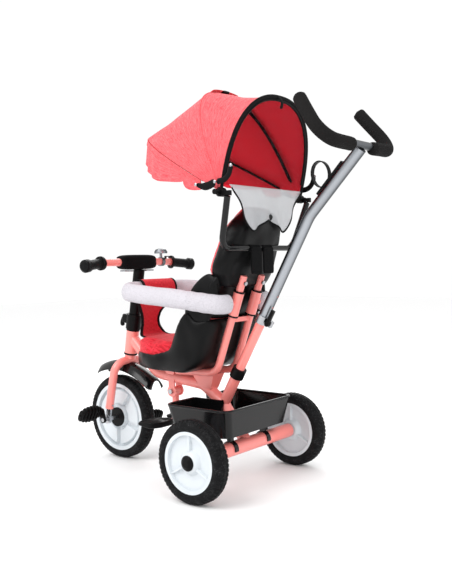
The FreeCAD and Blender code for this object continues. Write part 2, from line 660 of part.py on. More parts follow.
for side_name, side in SIDES:
    foot = upright(num("sleeve_middle"), side) - SEAT_UP * (num("sleeve_length") / 2)
    swing = Part.makeCylinder(num("sleeve_tube") / 2, num("sleeve_length"), foot, SEAT_UP)
    radii = [34, 60, 30, 40]
    tube = swept(ring_points(side, num("upright_half")), radii, num("ring_tube") / 2)
    swing = swing.fuse(tube).cut(Part.makeCylinder(SLEEVE_BORE, num("sleeve_length") + 20,
                                                   foot - SEAT_UP * 10, SEAT_UP))
    swing = max(swing.removeSplitter().Solids, key=lambda solid: solid.Volume)
    keep(shape_piece(side_name + "_ring_arm_shape", swing), side_name + "_ring_arm")
    padding = swept(ring_points(side, num("upright_half") + 22), radii, pad_tall, pad_squash)
    padding = padding.cut(tube)
    keep(shape_piece(side_name + "_padding_shape", padding), side_name + "_ring_padding")

front_centre = ring_points(1, 0)[-1]
front_centre.x = 0


def oval_band(clear, wall, width):
    """A closed band round the front of the ring, between two ovals."""
    loops = []
    for extra in (clear + wall, clear):
        tall = front_centre + Vector(-width / 2, 0, pad_tall + extra)
        deep = front_centre + Vector(-width / 2, pad_tall * pad_squash + extra, 0)
        middle = front_centre + Vector(-width / 2, 0, 0)
        loops.append(Part.Face(Part.Wire(Part.Ellipse(tall, deep, middle).toShape())))
    return loops[0].extrude(SIDE * width).cut(loops[1].extrude(SIDE * width))


CUSHION_TOP = 372.0
strap_wall = 3.0
LOOP_CLEAR = 2.6
loop_low = front_centre + Vector(0, 0, -pad_tall - LOOP_CLEAR - strap_wall / 2)
strap_line = [loop_low, Vector(0, -346, 421), Vector(0, -338, CUSHION_TOP + 6),
              Vector(0, -300, CUSHION_TOP + 3)]
strap_faces = []
for first, second in zip(strap_line, strap_line[1:]):
    thick = (second - first).normalize().cross(SIDE) * (strap_wall / 2)
    corners = [first + thick, second + thick, second - thick, first - thick, first + thick]
    strap_faces.append(Part.Face(Part.makePolygon(corners)).extrude(SIDE * num("strap_width")))
    strap_faces.append(Part.makeCylinder(strap_wall / 2, num("strap_width"), second, SIDE))
tail = strap_faces[0].fuse(strap_faces[1:])
tail.translate(SIDE * (-num("strap_width") / 2))
strap = oval_band(LOOP_CLEAR, strap_wall, num("loop_width")).fuse(tail).removeSplitter()
inner_oval = oval_band(-12, 12 + LOOP_CLEAR - 0.1, num("loop_width"))
keep(shape_piece("strap_shape", strap.cut(inner_oval)), "crotch_strap")

# ---------------------------------------------------------------- seat

seat_half = num("seat_half")
wall = num("seat_wall")
floor_z = num("seat_bottom")


def side_outline(corners, x_from, x_to):
    face = Part.Face(Part.makePolygon([Vector(x_from, y, z) for y, z in corners + corners[:1]]))
    return face.extrude(SIDE * (x_to - x_from))


back_ahead = num("sleeve_tube") / 2 + 3
back_line = [upright(height, 1, back_ahead) for height in (floor_z + 14, 436, 560)]
lower_back, upper_back = back_line[0], back_line[1]
seat_side = [(-385, 322), (-372, 306), (-340, floor_z), (-120, floor_z),
             (lower_back.y, lower_back.z), (upper_back.y, upper_back.z), (-70, 440), (-88, 462),
             (-106, 460), (-130, 436), (-150, 400), (-170, 360), (-230, 345), (-372, 338)]
shell = side_outline(seat_side, -seat_half, seat_half)
inner_back = [Vector(0, point.y, point.z) - SEAT_BACK * wall for point in back_line]
cavity_side = [(-362, 600), (-362, 318), (-340, floor_z + wall), (-128, floor_z + wall),
               (inner_back[0].y, inner_back[0].z + 6), (inner_back[2].y, inner_back[2].z)]
cavity = side_outline(cavity_side, wall - seat_half, seat_half - wall)
tunnels = [Part.makeCylinder(upright_radius + 1, 300, upright(floor_z - 30, side), SEAT_UP)
           for side in (-1, 1)]
tube_room = swept(main_points, [70, 60, 60], tube_radius + 2)
shell = shell.cut([cavity, seat_frame, front_mount, tube_room] + tunnels).removeSplitter()
shell = max(shell.Solids, key=lambda solid: solid.Volume)
keep(shape_piece("seat_shell_shape", shell), "seat_shell")

cushion_side = [(-358, 330), (-340, floor_z + wall + GAP), (-132, floor_z + wall + GAP),
                (inner_back[0].y - 6, inner_back[0].z + 8), (inner_back[0].y + 8, CUSHION_TOP - 6),
                (-150, CUSHION_TOP - 8), (-300, CUSHION_TOP), (-345, CUSHION_TOP)]
cushion = side_outline(cushion_side, wall - seat_half + 1, seat_half - wall - 1)
keep(shape_piece("seat_cushion_shape", cushion.cut(strap)), "seat_cushion")


BACK_FLARE = 236.0


def back_plate(name, thickness, ahead, half_width, low, high, corner):
    """A padded panel along the uprights, narrow between the arms and rounded at its top."""
    body = doc.addObject("PartDesign::Body", name)
    outline = [(-half_width * 0.84, low), (half_width * 0.84, low),
               (half_width * 0.84, BACK_FLARE - 10), (half_width, BACK_FLARE + 20),
               (half_width, high - corner * 1.5), (half_width * 0.86, high - corner * 0.55),
               (half_width * 0.55, high), (-half_width * 0.55, high),
               (-half_width * 0.86, high - corner * 0.55), (-half_width, high - corner * 1.5),
               (-half_width, BACK_FLARE + 20), (-half_width * 0.84, BACK_FLARE - 10)]
    pad = body.newObject("PartDesign::Pad", name + "_pad")
    pad.Profile = outline_sketch(body, "XZ_Plane", outline)
    pad.setExpression("Length", dim(thickness).text)
    start = upright(num("upright_foot"), 1, ahead)
    start.x = 0
    body.Placement = Placement(start, Rotation(SIDE, -num("upright_lean")))
    return body


along_back = (num("back_top") - num("upright_foot")) / math.cos(SEAT_LEAN)
shell_ahead = back_ahead
back_body = back_plate("backrest_shell_body", cell("back_shell"), shell_ahead, cell("back_half"),
                       214, along_back, 60)
bolt_holes = [cylinder("back_bolt_hole%d" % number, 3, 34,
                       upright(BOLT_HEIGHT, side) - SEAT_BACK * BOLT_REACH, SEAT_BACK)
              for number, side in enumerate((-1, 1))]
keep(cut("backrest_shell", back_body, *bolt_holes), "backrest_shell")
keep(back_plate("backrest_pad_body", cell("back_pad"), shell_ahead + num("back_shell") + GAP,
                cell("back_half") - 4, 92, along_back - 4, 60), "backrest_pad")

# ---------------------------------------------------------------- canopy frame

PIVOT = Vector(0, num("pivot_back"), num("pivot_height"))
canopy_half = num("canopy_half")
WIRE = num("bow_wire") / 2


def bow_point(angle, reach, half_width, share, fullness, belly=0.0):
    """A point on a bow: share runs 0 to 1 from the left pivot over the top to the right."""
    turn = math.pi * share
    across = math.copysign(abs(math.cos(turn)) ** fullness, math.cos(turn))
    wide = half_width + belly * abs(math.sin(2 * turn))
    rise = reach * math.sin(turn) ** (fullness + 0.03)
    lean = math.radians(angle)
    return PIVOT + Vector(wide * across, -rise * math.cos(lean), rise * math.sin(lean))


def bow_curve(angle, reach, half_width, fullness, belly, first=0.035, count=24):
    points = [bow_point(angle, reach, half_width, first + (1 - 2 * first) * step / count,
                        fullness, belly) for step in range(count + 1)]
    curve = Part.BSplineCurve()
    curve.interpolate(points)
    return curve


BOWS = {"front": (num("front_angle"), num("front_reach"), 0.74, 0.0),
        "mid": (num("mid_angle"), num("mid_reach"), 0.76, 0.0),
        "rear": (num("rear_angle"), num("rear_reach"), 0.80, 8.0)}


def bow_rod(name, wire):
    """The sprung wire of one bow, inside the cloth."""
    angle, reach, fullness, belly = BOWS[name]
    inset = num("cloth") + WIRE + 1
    curve = bow_curve(angle, reach - inset, canopy_half - inset, fullness, belly)
    path = Part.Wire(curve.toShape())
    heading = curve.tangent(curve.FirstParameter)[0]
    section = Part.Wire(Part.Circle(curve.StartPoint, heading, wire).toShape())
    return path.makePipeShell([section], True, True)


def panel(first, second, thickness, shares=(0.0, 1.0)):
    """A cloth panel between two bows: a closed shell of one thickness, open underneath."""
    sections = []
    for share in shares:
        low = [BOWS[first][k] + (BOWS[second][k] - BOWS[first][k]) * share for k in range(4)]
        angle, reach, fullness, belly = low
        outer = bow_curve(angle, reach, canopy_half, fullness, belly)
        inner = bow_curve(angle, reach - thickness, canopy_half - thickness, fullness, belly)
        sections.append(Part.Wire([
            outer.toShape(), Part.LineSegment(outer.EndPoint, inner.EndPoint).toShape(),
            inner.toShape(), Part.LineSegment(inner.StartPoint, outer.StartPoint).toShape()]))
    return Part.makeLoft(sections, True, True)


CLOTH = num("cloth")
keep(shape_piece("mid_bow_shape", bow_rod("mid", WIRE)), "canopy_mid_bow")
keep(shape_piece("front_bow_shape", bow_rod("front", WIRE)), "canopy_front_bow")
keep(shape_piece("rear_bow_shape", bow_rod("rear", WIRE)), "canopy_rear_bow")
keep(shape_piece("rear_panel_shape", panel("rear", "mid", CLOTH, (0.0, 0.985))),
     "canopy_rear_panel")
valance_front = BOWS["front"]
hem = 46.0
outer = bow_curve(*[valance_front[0], valance_front[1], canopy_half, valance_front[2], 0.0], 0.06)
inner = bow_curve(valance_front[0], valance_front[1] - CLOTH, canopy_half - CLOTH,
                  valance_front[2], 0.0, 0.06)
strip = Part.Face(Part.Wire([
    outer.toShape(), Part.LineSegment(outer.EndPoint, inner.EndPoint).toShape(), inner.toShape(),
    Part.LineSegment(inner.StartPoint, outer.StartPoint).toShape()]))
fall = Vector(0, -math.sin(math.radians(8)), -math.cos(math.radians(8)))
valance = strip.extrude(fall * hem)
valance.translate(fall * 3)
front_panel = panel("mid", "front", CLOTH, (0.015, 1.0))
keep(shape_piece("front_panel_shape", Part.makeCompound([front_panel, valance])),
     "canopy_front_panel")

# The rear window is a sheer net inside the rear bow, with a loose skirt below it.
rear_angle, rear_reach, rear_full, rear_belly = BOWS["rear"]
window_inset = CLOTH + 2 * WIRE + 4
window_curve = bow_curve(rear_angle, rear_reach - window_inset, canopy_half - window_inset,
                         rear_full, rear_belly, 0.06)
window_face = Part.Face(Part.Wire([
    window_curve.toShape(),
    Part.LineSegment(window_curve.EndPoint, window_curve.StartPoint).toShape()]))
REAR_NORMAL = Vector(0, math.sin(math.radians(rear_angle)), math.cos(math.radians(rear_angle)))
window = window_face.extrude(REAR_NORMAL * 1.5)
skirt_half = canopy_half - window_inset - 14
skirt_points = [(-skirt_half, 0), (skirt_half, 0), (skirt_half * 0.8, -55), (60, -88),
                (0, -62), (-60, -88), (-skirt_half * 0.8, -60)]
skirt_top = PIVOT + Vector(0, 10, 22)
skirt_face = Part.Face(Part.makePolygon([skirt_top + Vector(x, 0, z)
                                         for x, z in skirt_points + skirt_points[:1]]))
skirt = skirt_face.extrude(Vector(0, 1.5, 0)).cut(window)
keep(shape_piece("net_shapes", Part.makeCompound([window, skirt])), "canopy_net")

# The canopy stands on a U-shaped tube held to the backrest by two cloth tabs.
U_RADIUS = num("u_tube") / 2
back_face = upright(616, 1, shell_ahead)
U_BOTTOM = Vector(0, back_face.y + U_RADIUS + 2.5, 616)
arm_top = [Vector(side * (canopy_half + 4), PIVOT.y + 22, PIVOT.z - 8) for side in (-1, 1)]
arm_low = [Vector(side * 152, U_BOTTOM.y + 3, 618) for side in (-1, 1)]
u_frame = swept([arm_top[0], arm_low[0], arm_low[1], arm_top[1]], [26, 26], U_RADIUS)
keep(shape_piece("u_frame_shape", u_frame), "canopy_u_frame")
clamps = []
for side_name, side in SIDES:
    outward = Vector(side, 0, 0)
    barrel_in = Vector(side * (canopy_half - 8), PIVOT.y, PIVOT.z)
    barrel = Part.makeCylinder(11, 16, barrel_in, outward)
    barrel = barrel.fuse(Part.makeCylinder(6.5, 34, barrel_in, outward))
    for groove in (3, 7, 11):
        rim = Part.makeCylinder(12, 1.6, barrel_in + outward * groove, outward)
        barrel = barrel.cut(rim.cut(Part.makeCylinder(10, 1.6, barrel_in + outward * groove, outward)))
    foot = arm_top[0] if side < 0 else arm_top[1]
    link = Part.makeBox(8, abs(foot.y - PIVOT.y) + 10, 12,
                        Vector(foot.x - 4, PIVOT.y, foot.z - 2))
    clamp = barrel.fuse(link)
    clamp = clamp.cut(u_frame).removeSplitter()
    clamps.append(max(clamp.Solids, key=lambda solid: solid.Volume))
keep(shape_piece("clamp_shapes", Part.makeCompound(clamps)), "canopy_clamps")
tabs = []
tab_front = arm_low[0].y + U_RADIUS + GAP
for x in (-26, 26):
    tabs.append(Part.makeBox(40, 2, 96, Vector(x - 20, tab_front, 616 - 62)))
keep(shape_piece("tab_shapes", Part.makeCompound(tabs)), "backrest_tabs")

# ---------------------------------------------------------------- canopy stays

STAY_X = canopy_half + 9
STAY_TOP = Vector(0, 111, 809)
STAY_ELBOW = Vector(0, 65, 774)
STAY_FRONT = Vector(0, 5, 772)


def bar_between(first, second, width, thickness, x, direction):
    """A flat bar with round ends, thickened outward from x."""
    across = (second - first).normalize().cross(SIDE) * (width / 2)
    face = Part.Face(Part.makePolygon([first + across, second + across, second - across,
                                       first - across, first + across]))
    bar = face.extrude(SIDE * thickness)
    for centre in (first, second):
        bar = bar.fuse(Part.makeCylinder(width / 2, thickness, centre, SIDE))
    bar.translate(SIDE * (x if direction > 0 else -x - thickness))
    return bar


uppers = []
lowers = []
for side_name, side in SIDES:
    upper = bar_between(STAY_TOP, STAY_ELBOW, 12, 4, STAY_X, side)
    lower = bar_between(STAY_ELBOW, STAY_FRONT, 12, 4, STAY_X + 4 + GAP, side)
    rivets = []
    for centre, start, length in ((STAY_TOP, STAY_X - 6, 12), (STAY_ELBOW, STAY_X, 10)):
        x = start if side > 0 else -start - length
        rivets.append(Part.makeCylinder(2.5, length, centre + SIDE * x, SIDE))
    elbow_hole = Part.makeCylinder(2.5 + num("running"), 60,
                                   STAY_ELBOW + SIDE * (side * STAY_X - 30), SIDE)
    uppers.append(upper.fuse(rivets).removeSplitter())
    lowers.append(lower.cut(elbow_hole).removeSplitter())
keep(shape_piece("upper_stay_shapes", Part.makeCompound(uppers)), "upper_stays")
keep(shape_piece("lower_stay_shapes", Part.makeCompound(lowers)), "lower_stays")

# ---------------------------------------------------------------- basket

basket_half = num("basket_half")
rim_z = num("basket_rim")
basket_floor = rim_z - num("basket_depth")
BASKET_BACK = 50.0
BASKET_FRONT = -160.0


def bin_solid(inset, floor):
    sections = []
    for shrink, height, front_shrink in ((inset, rim_z + (0 if inset == 0 else 5), 0),
                                         (inset + 16, floor, 12)):
        x = basket_half - shrink
        front = BASKET_FRONT + inset + front_shrink
        back = BASKET_BACK - inset - front_shrink
        corners = [Vector(-x, front, height), Vector(x, front, height), Vector(x, back, height),
                   Vector(-x, back, height), Vector(-x, front, height)]
        sections.append(Part.makePolygon(corners))
    return Part.makeLoft(sections, True, True)


thin = num("basket_wall")
basket = bin_solid(0, basket_floor)
round_up = [edge for edge in basket.Edges
            if abs(edge.Vertexes[0].Z - edge.Vertexes[-1].Z) > num("basket_depth") / 2]
basket = basket.makeFillet(24, round_up)
hollow = bin_solid(thin, basket_floor + thin)
round_in = [edge for edge in hollow.Edges
            if abs(edge.Vertexes[0].Z - edge.Vertexes[-1].Z) > num("basket_depth") / 2]
basket = basket.cut(hollow.makeFillet(24 - thin, round_in))
notch_half = num("main_tube") / 2 + 6
notch_wall = Part.makeBox(2 * (notch_half + thin), 96, num("basket_depth"),
                          Vector(-notch_half - thin, BASKET_FRONT, basket_floor))
outer_bin = bin_solid(0, basket_floor)
notch = Part.makeBox(2 * notch_half, 93, 200, Vector(-notch_half, BASKET_FRONT - 1,
                                                     basket_floor - 20))
basket = basket.fuse(notch_wall.common(outer_bin)).cut(notch)
main_clear = swept(main_points, [70, 60, 60], tube_radius + 2)
pole_clear = Part.makeCylinder(num("socket_tube") / 2 + 2, 60, pole(-30), POLE_UP)
axle_clear = Part.makeCylinder(num("axle_tube") / 2 + GAP, 2 * REAR_HALF,
                               AXLE - SIDE * REAR_HALF, SIDE)
basket = basket.cut([main_clear, pole_clear, axle_clear]).removeSplitter()
basket = max(basket.Solids, key=lambda solid: solid.Volume)
hooks = []
for x in (-70, 70):
    ring_outer = Part.makeCylinder(num("axle_tube") / 2 + 3.3, 14, AXLE + SIDE * (x - 7), SIDE)
    ring_inner = Part.makeCylinder(num("axle_tube") / 2 + GAP, 14, AXLE + SIDE * (x - 7), SIDE)
    hook = ring_outer.cut(ring_inner)
    hook = hook.cut(Part.makeBox(20, 60, 60, AXLE + Vector(x - 10, -30, -64)))
    hook = hook.fuse(Part.makeBox(14, 12, basket_floor - AXLE.z - 20,
                                  AXLE + Vector(x - 7, -6, 20)))
    hooks.append(hook.cut(ring_inner))
basket = basket.fuse(hooks).removeSplitter()
keep(shape_piece("basket_shape", max(basket.Solids, key=lambda solid: solid.Volume)),
     "rear_basket")

# ---------------------------------------------------------------- footrest

FOLD = ear_middle
stem_radius = 10.0
tread_z = 138.0
drop = Part.makeCylinder(stem_radius, FOLD.z - tread_z, Vector(0, FOLD.y, tread_z), UP)
knuckle = Part.makeCylinder(12, 2 * (PLATE_HALF - GAP), FOLD - SIDE * (PLATE_HALF - GAP), SIDE)
cross = Part.makeCylinder(8, 2 * num("tread_width") + 12,
                          Vector(-num("tread_width") - 6, FOLD.y, tread_z), SIDE)
swing_hole = Part.makeCylinder(4 + num("running"), 60, FOLD - SIDE * 30, SIDE)
footrest = drop.fuse([knuckle, cross]).cut(swing_hole).removeSplitter()
keep(shape_piece("footrest_shape", footrest), "footrest_bar")
bolt = Part.makeCylinder(4, 2 * PLATE_HALF + 14, FOLD - SIDE * (PLATE_HALF + 7), SIDE)
heads = [Part.makeCylinder(7, 4, FOLD + SIDE * x, SIDE) for x in (PLATE_HALF + 7, -PLATE_HALF - 11)]
keep(shape_piece("frame_bolt_shapes", Part.makeCompound([bolt.fuse(heads)] + seat_bolts)),
     "frame_bolts")
treads = []
for side_name, side in SIDES:
    middle = Vector(side * (18 + num("tread_width") / 2), FOLD.y - 22, tread_z)
    block = box(side_name + "_tread_block", (cell("tread_width"), cell("tread_length"),
                                             cell("tread_thickness")), middle, Rotation(), 6)
    bore = cylinder(side_name + "_tread_bore", 8, cell("tread_width") + 20,
                    Vector(middle.x - num("tread_width") / 2 - 10, FOLD.y, tread_z), SIDE)
    treads.append(cut(side_name + "_tread", block, bore))
group("footrest_treads", *treads)

# ---------------------------------------------------------------- push handle

push_radius = num("push_tube") / 2
bend_rise = (num("bend_height") - POLE_FOOT.z) / math.cos(POLE_LEAN)
BEND_LEAN = math.radians(num("bend_lean"))
UPPER = Vector(0, math.sin(BEND_LEAN), math.cos(BEND_LEAN))
push_low = (num("push_start") - POLE_FOOT.z) / math.cos(POLE_LEAN)
bend_point = pole(bend_rise)
upper_length = (num("grip_height") - 12 - bend_point.z) / math.cos(BEND_LEAN)
push_end = bend_point + UPPER * upper_length
push = swept([pole(push_low), bend_point, push_end], [110], push_radius)
push_core = swept([pole(push_low), bend_point, push_end], [110], push_radius - 1.7)
push = push.cut(push_core)
cross_middle = push_end + UPPER * (num("cross_tube") / 2 - 4)
handle_half = num("handle_half")
cross_radius = num("cross_tube") / 2


def handle_points(side):
    return [Vector(side * 42, cross_middle.y, cross_middle.z),
            Vector(side * (handle_half + 12), cross_middle.y - 4, cross_middle.z + 4),
            Vector(side * (handle_half - 28), cross_middle.y - 86, cross_middle.z + 110)]


inner_end = [handle_points(side)[2] for side in (-1, 1)]
knees = [handle_points(side)[1] for side in (-1, 1)]
handle = swept([inner_end[0] + Vector(0, 4, -5), knees[0], knees[1],
                inner_end[1] + Vector(0, 4, -5)], [44, 44], cross_radius)
cap = Part.makeCylinder(push_radius, 1.7, push_end - UPPER * 1.7, UPPER)
push = push.fuse([handle, cap]).removeSplitter()
for height in (20, 53, 86):
    push = push.cut(Part.makeCylinder(4, 60, pole(push_low + height) - SIDE * 2,
                                      Vector(0, math.cos(POLE_LEAN), -math.sin(POLE_LEAN))))
bore_room = Part.makeCylinder(pole_bore_radius + num("pole_fit"), 280, pole(push_low - 1), POLE_UP)
keep(shape_piece("push_shape", push.cut(bore_room)), "push_handle_tube")
foams = []
for side_name, side in SIDES:
    points = handle_points(side)
    foam = swept(points, [44], num("foam_tube") / 2)
    tip = Part.makeSphere(num("foam_tube") / 2, points[2])
    foam = foam.fuse(tip).cut(handle)
    foams.append(max(foam.removeSplitter().Solids, key=lambda solid: solid.Volume))
keep(shape_piece("foam_shapes", Part.makeCompound(foams)), "foam_grips")

CLAMP_LENGTH = 22.0
clamp_ring = Part.makeCylinder(push_radius + 4, CLAMP_LENGTH, pole(push_low + 2), POLE_UP)
POLE_ACROSS = Vector(0, math.cos(POLE_LEAN), -math.sin(POLE_LEAN))
lug = Part.makeBox(12, 20, 16)
lug.Placement = Placement(pole(push_low + 5) - SIDE * 6 + POLE_ACROSS * (push_radius - 2),
                          Rotation(SIDE, -num("pole_lean")))
clamp_ring = clamp_ring.fuse(lug).cut(Part.makeCylinder(push_radius, 60, pole(push_low - 10),
                                                        POLE_UP))
LEVER_SPOT = pole(push_low + 13) + POLE_ACROSS * (push_radius + 11)
lever_pin_hole = Part.makeCylinder(3 + num("running"), 60, LEVER_SPOT - SIDE * 30, SIDE)
clamp_ring = clamp_ring.cut(lever_pin_hole).removeSplitter()
keep(shape_piece("pole_clamp_shape", max(clamp_ring.Solids, key=lambda s: s.Volume)), "pole_clamp")
lever_pin = Part.makeCylinder(3, 30, LEVER_SPOT - SIDE * 15, SIDE)
lever_head = Part.makeCylinder(7, 8, LEVER_SPOT + SIDE * 7, SIDE)
lever_blade = Part.makeBox(8, 9, 40)
lever_blade.Placement = Placement(LEVER_SPOT + SIDE * 7 - POLE_ACROSS * 4.5,
                                  Rotation(SIDE, -num("pole_lean")))
lever = lever_pin.fuse([lever_head, lever_blade]).removeSplitter()
keep(shape_piece("clamp_lever_shape", lever), "pole_clamp_lever")

# A bottle strap hangs on a rail along the front of the upper pole.
rail_middle = bend_point + UPPER * 105 - Vector(0, math.cos(BEND_LEAN), -math.sin(BEND_LEAN)) * (
    push_radius + 5)
rail = Part.makeBox(14, 9, 100)
rail.Placement = Placement(rail_middle - SIDE * 7 - UPPER * 50, Rotation(SIDE, -num("bend_lean")))
loop_middle = rail_middle - Vector(0, 24, 0) + Vector(0, 0, 10)


def oval(long_half, short_half):
    """A flat oval block, 12 mm wide, whose length leans a little forward."""
    length = Vector(0, -math.sin(math.radians(12)), math.cos(math.radians(12)))
    short = SIDE.cross(length)
    middle = loop_middle - SIDE * 6
    rim = Part.Ellipse(middle + length * long_half, middle + short * short_half, middle)
    return Part.Face(Part.Wire(rim.toShape())).extrude(SIDE * 12)


loop = oval(33, 25).cut(oval(30, 22))
holder = rail.fuse(loop).removeSplitter().cut(
    Part.makeCylinder(push_radius + GAP, 400, bend_point - UPPER * 40, UPPER))
keep(shape_piece("holder_shape", max(holder.Solids, key=lambda s: s.Volume)), "bottle_holder")

# ---------------------------------------------------------------- checks and files

doc.recompute()
for item in doc.Objects:
    if "Invalid" in item.State or "Error" in item.State:
        raise RuntimeError("%s did not build" % item.Label)
for piece in subparts:
    if piece.Shape.isNull() or not piece.Shape.isValid():
        raise RuntimeError("%s has no valid shape" % piece.Label)

whole = FreeCAD.BoundBox()
for piece in subparts:
    whole.add(piece.Shape.BoundBox)
shift = Vector(-(whole.XMin + whole.XMax) / 2, -(whole.YMin + whole.YMax) / 2, -whole.ZMin)
print("moved by", shift, "size", whole.XLength, whole.YLength, whole.ZLength)

for piece in subparts:
    piece.Placement = Placement(shift, Rotation()).multiply(piece.Placement)
doc.recompute()

os.makedirs("parts", exist_ok=True)
for piece in subparts:
    piece.Shape.exportStep("parts/%s.step" % piece.Label)
    print("%-24s %d solids %10.0f mm3" % (piece.Label, len(piece.Shape.Solids),
                                          piece.Shape.Volume))
print(len(subparts), "sub-parts")
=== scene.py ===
import math

import bpy
import numpy as np
from mathutils import Matrix, Vector


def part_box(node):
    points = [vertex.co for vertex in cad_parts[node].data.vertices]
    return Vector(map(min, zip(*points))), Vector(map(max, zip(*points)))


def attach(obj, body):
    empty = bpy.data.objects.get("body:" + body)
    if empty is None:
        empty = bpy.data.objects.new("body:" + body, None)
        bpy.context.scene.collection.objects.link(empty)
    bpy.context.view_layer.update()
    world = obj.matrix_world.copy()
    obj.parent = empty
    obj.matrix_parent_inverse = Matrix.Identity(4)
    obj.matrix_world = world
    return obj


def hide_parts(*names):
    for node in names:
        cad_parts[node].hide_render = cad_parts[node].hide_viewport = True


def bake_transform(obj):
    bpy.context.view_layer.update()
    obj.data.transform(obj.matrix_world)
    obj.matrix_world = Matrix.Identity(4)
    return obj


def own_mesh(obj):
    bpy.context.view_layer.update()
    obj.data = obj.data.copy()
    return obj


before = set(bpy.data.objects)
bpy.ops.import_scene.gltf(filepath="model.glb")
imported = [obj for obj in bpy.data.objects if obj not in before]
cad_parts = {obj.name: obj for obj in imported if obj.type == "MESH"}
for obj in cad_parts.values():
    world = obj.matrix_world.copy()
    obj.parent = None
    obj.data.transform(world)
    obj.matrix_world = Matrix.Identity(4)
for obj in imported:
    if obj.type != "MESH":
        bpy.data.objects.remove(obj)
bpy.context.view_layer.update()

# ---------------------------------------------------------------- camera
# A camera behind the tricycle's left side and a little above its axles, looking level.
# It is placed in the object's own frame and isn't fixed to any piece.

AXLE_BACK = 0.1157


def at(side, back, up):
    """A point given in millimetres from the floor below the middle of the rear axle."""
    return Vector((side / 1000, back / 1000 + AXLE_BACK, up / 1000))


camera = bpy.data.objects.new("camera", bpy.data.cameras.new("camera"))
camera.data.lens = 45.87
camera.matrix_world = Matrix.Translation(at(1541.5, 1196.1, 580.3)) @ Matrix((
    (-0.6307, -0.0452, 0.7747), (0.7757, -0.0051, 0.6311), (-0.0246, 0.9990, 0.0383))).to_4x4()
bpy.context.scene.collection.objects.link(camera)
bpy.context.scene.camera = camera

# ---------------------------------------------------------------- floor and light
# A plain pale floor and studio light: a large soft key from the front left, a fill and a sky.
# Neither is part of the tricycle.


class Term:
    """A value in a material's nodes; arithmetic on it makes more nodes."""

    def __init__(self, look, socket):
        self.look = look
        self.socket = socket

    def math(self, operation, first, second=0.0):
        return self.look.node("ShaderNodeMath", {"operation": operation}, {0: first, 1: second})

    def __add__(self, other):
        return self.math("ADD", self, other)

    def __radd__(self, other):
        return self.math("ADD", other, self)

    def __sub__(self, other):
        return self.math("SUBTRACT", self, other)

    def __rsub__(self, other):
        return self.math("SUBTRACT", other, self)

    def __mul__(self, other):
        return self.math("MULTIPLY", self, other)

    def __rmul__(self, other):
        return self.math("MULTIPLY", other, self)

    def above(self, limit):
        return self.math("GREATER_THAN", self, limit)

    def wave(self):
        return self.math("SINE", self)


class Look:
    """A material with one Principled shader and the nodes that feed it."""

    def __init__(self, name, color, roughness, **more):
        self.material = bpy.data.materials.new(name)
        self.material.use_nodes = True
        self.tree = self.material.node_tree
        self.shader = self.tree.nodes["Principled BSDF"]
        self.feed("Base Color", (*color, 1.0))
        self.feed("Roughness", roughness)
        for socket, value in more.items():
            self.feed(socket.replace("_", " "), value)

    def node(self, kind, settings, sockets, output=0):
        made = self.tree.nodes.new(kind)
        for key, value in settings.items():
            setattr(made, key, value)
        for key, value in sockets.items():
            self.join(made.inputs[key], value)
        return Term(self, made.outputs[output])

    def join(self, socket, value):
        if isinstance(value, Term):
            self.tree.links.new(value.socket, socket)
        else:
            socket.default_value = value

    def feed(self, name, value):
        self.join(self.shader.inputs[name], value)

    def place(self, map_name="Object"):
        return self.node("ShaderNodeTexCoord", {}, {}, map_name)

    def stretched(self, place, scale, turn=(0, 0, 0)):
        return self.node("ShaderNodeMapping", {}, {"Vector": place, "Scale": scale,
                                                   "Rotation": turn})

    def noise(self, place, scale, detail=3.0, rough=0.55):
        return self.node("ShaderNodeTexNoise", {}, {"Vector": place, "Scale": scale,
                                                    "Detail": detail, "Roughness": rough})

    def cells(self, place, scale):
        return self.node("ShaderNodeTexVoronoi", {}, {"Vector": place, "Scale": scale})

    def axis(self, place, number):
        return self.node("ShaderNodeSeparateXYZ", {}, {0: place}, number)

    def threads(self, direction, count, map_name="UV"):
        return (self.axis(self.place(map_name), direction) * count).wave()

    def ramp(self, value, low, high):
        return self.node("ShaderNodeMapRange", {"interpolation_type": "SMOOTHSTEP"},
                         {"Value": value, "From Min": low, "From Max": high})

    def blend(self, share, first, second):
        colors = [(*c, 1.0) if isinstance(c, tuple) else c for c in (first, second)]
        return self.node("ShaderNodeMix", {"data_type": "RGBA"},
                         {0: share, 6: colors[0], 7: colors[1]}, 2)

    def bump(self, height, distance, strength=1.0):
        self.feed("Normal", self.node("ShaderNodeBump", {}, {
            "Height": height, "Distance": distance, "Strength": strength}))


floor_look = Look("floor", (0.96, 0.96, 0.96), 0.7, Specular_IOR_Level=0.2)
floor_mesh = bpy.data.meshes.new("floor")
floor_mesh.from_pydata([(-9, -9, 0), (9, -9, 0), (9, 9, 0), (-9, 9, 0)], [], [(0, 1, 2, 3)])
floor_mesh.materials.append(floor_look.material)
floor = bpy.data.objects.new("floor", floor_mesh)
bpy.context.scene.collection.objects.link(floor)


def soft_light(name, place, aim, width, power):
    lamp = bpy.data.objects.new(name, bpy.data.lights.new(name, "AREA"))
    lamp.data.size = width
    lamp.data.energy = power
    lamp.location = place
    lamp.rotation_euler = (Vector(aim) - Vector(place)).to_track_quat("-Z", "Y").to_euler()
    bpy.context.scene.collection.objects.link(lamp)


soft_light("key", (2.6, -0.6, 3.0), (0, 0, 0.4), 2.2, 75)
soft_light("fill", (1.2, 3.2, 1.8), (0, 0, 0.5), 2.4, 20)
soft_light("rim", (-2.2, -1.6, 2.2), (0, 0, 0.6), 1.6, 30)
sky = bpy.data.worlds.new("sky")
sky.use_nodes = True
sky.node_tree.nodes["Background"].inputs["Color"].default_value = (1.0, 1.0, 1.0, 1.0)
sky.node_tree.nodes["Background"].inputs["Strength"].default_value = 1.02
bpy.context.scene.world = sky
bpy.context.scene.view_settings.view_transform = "Standard"

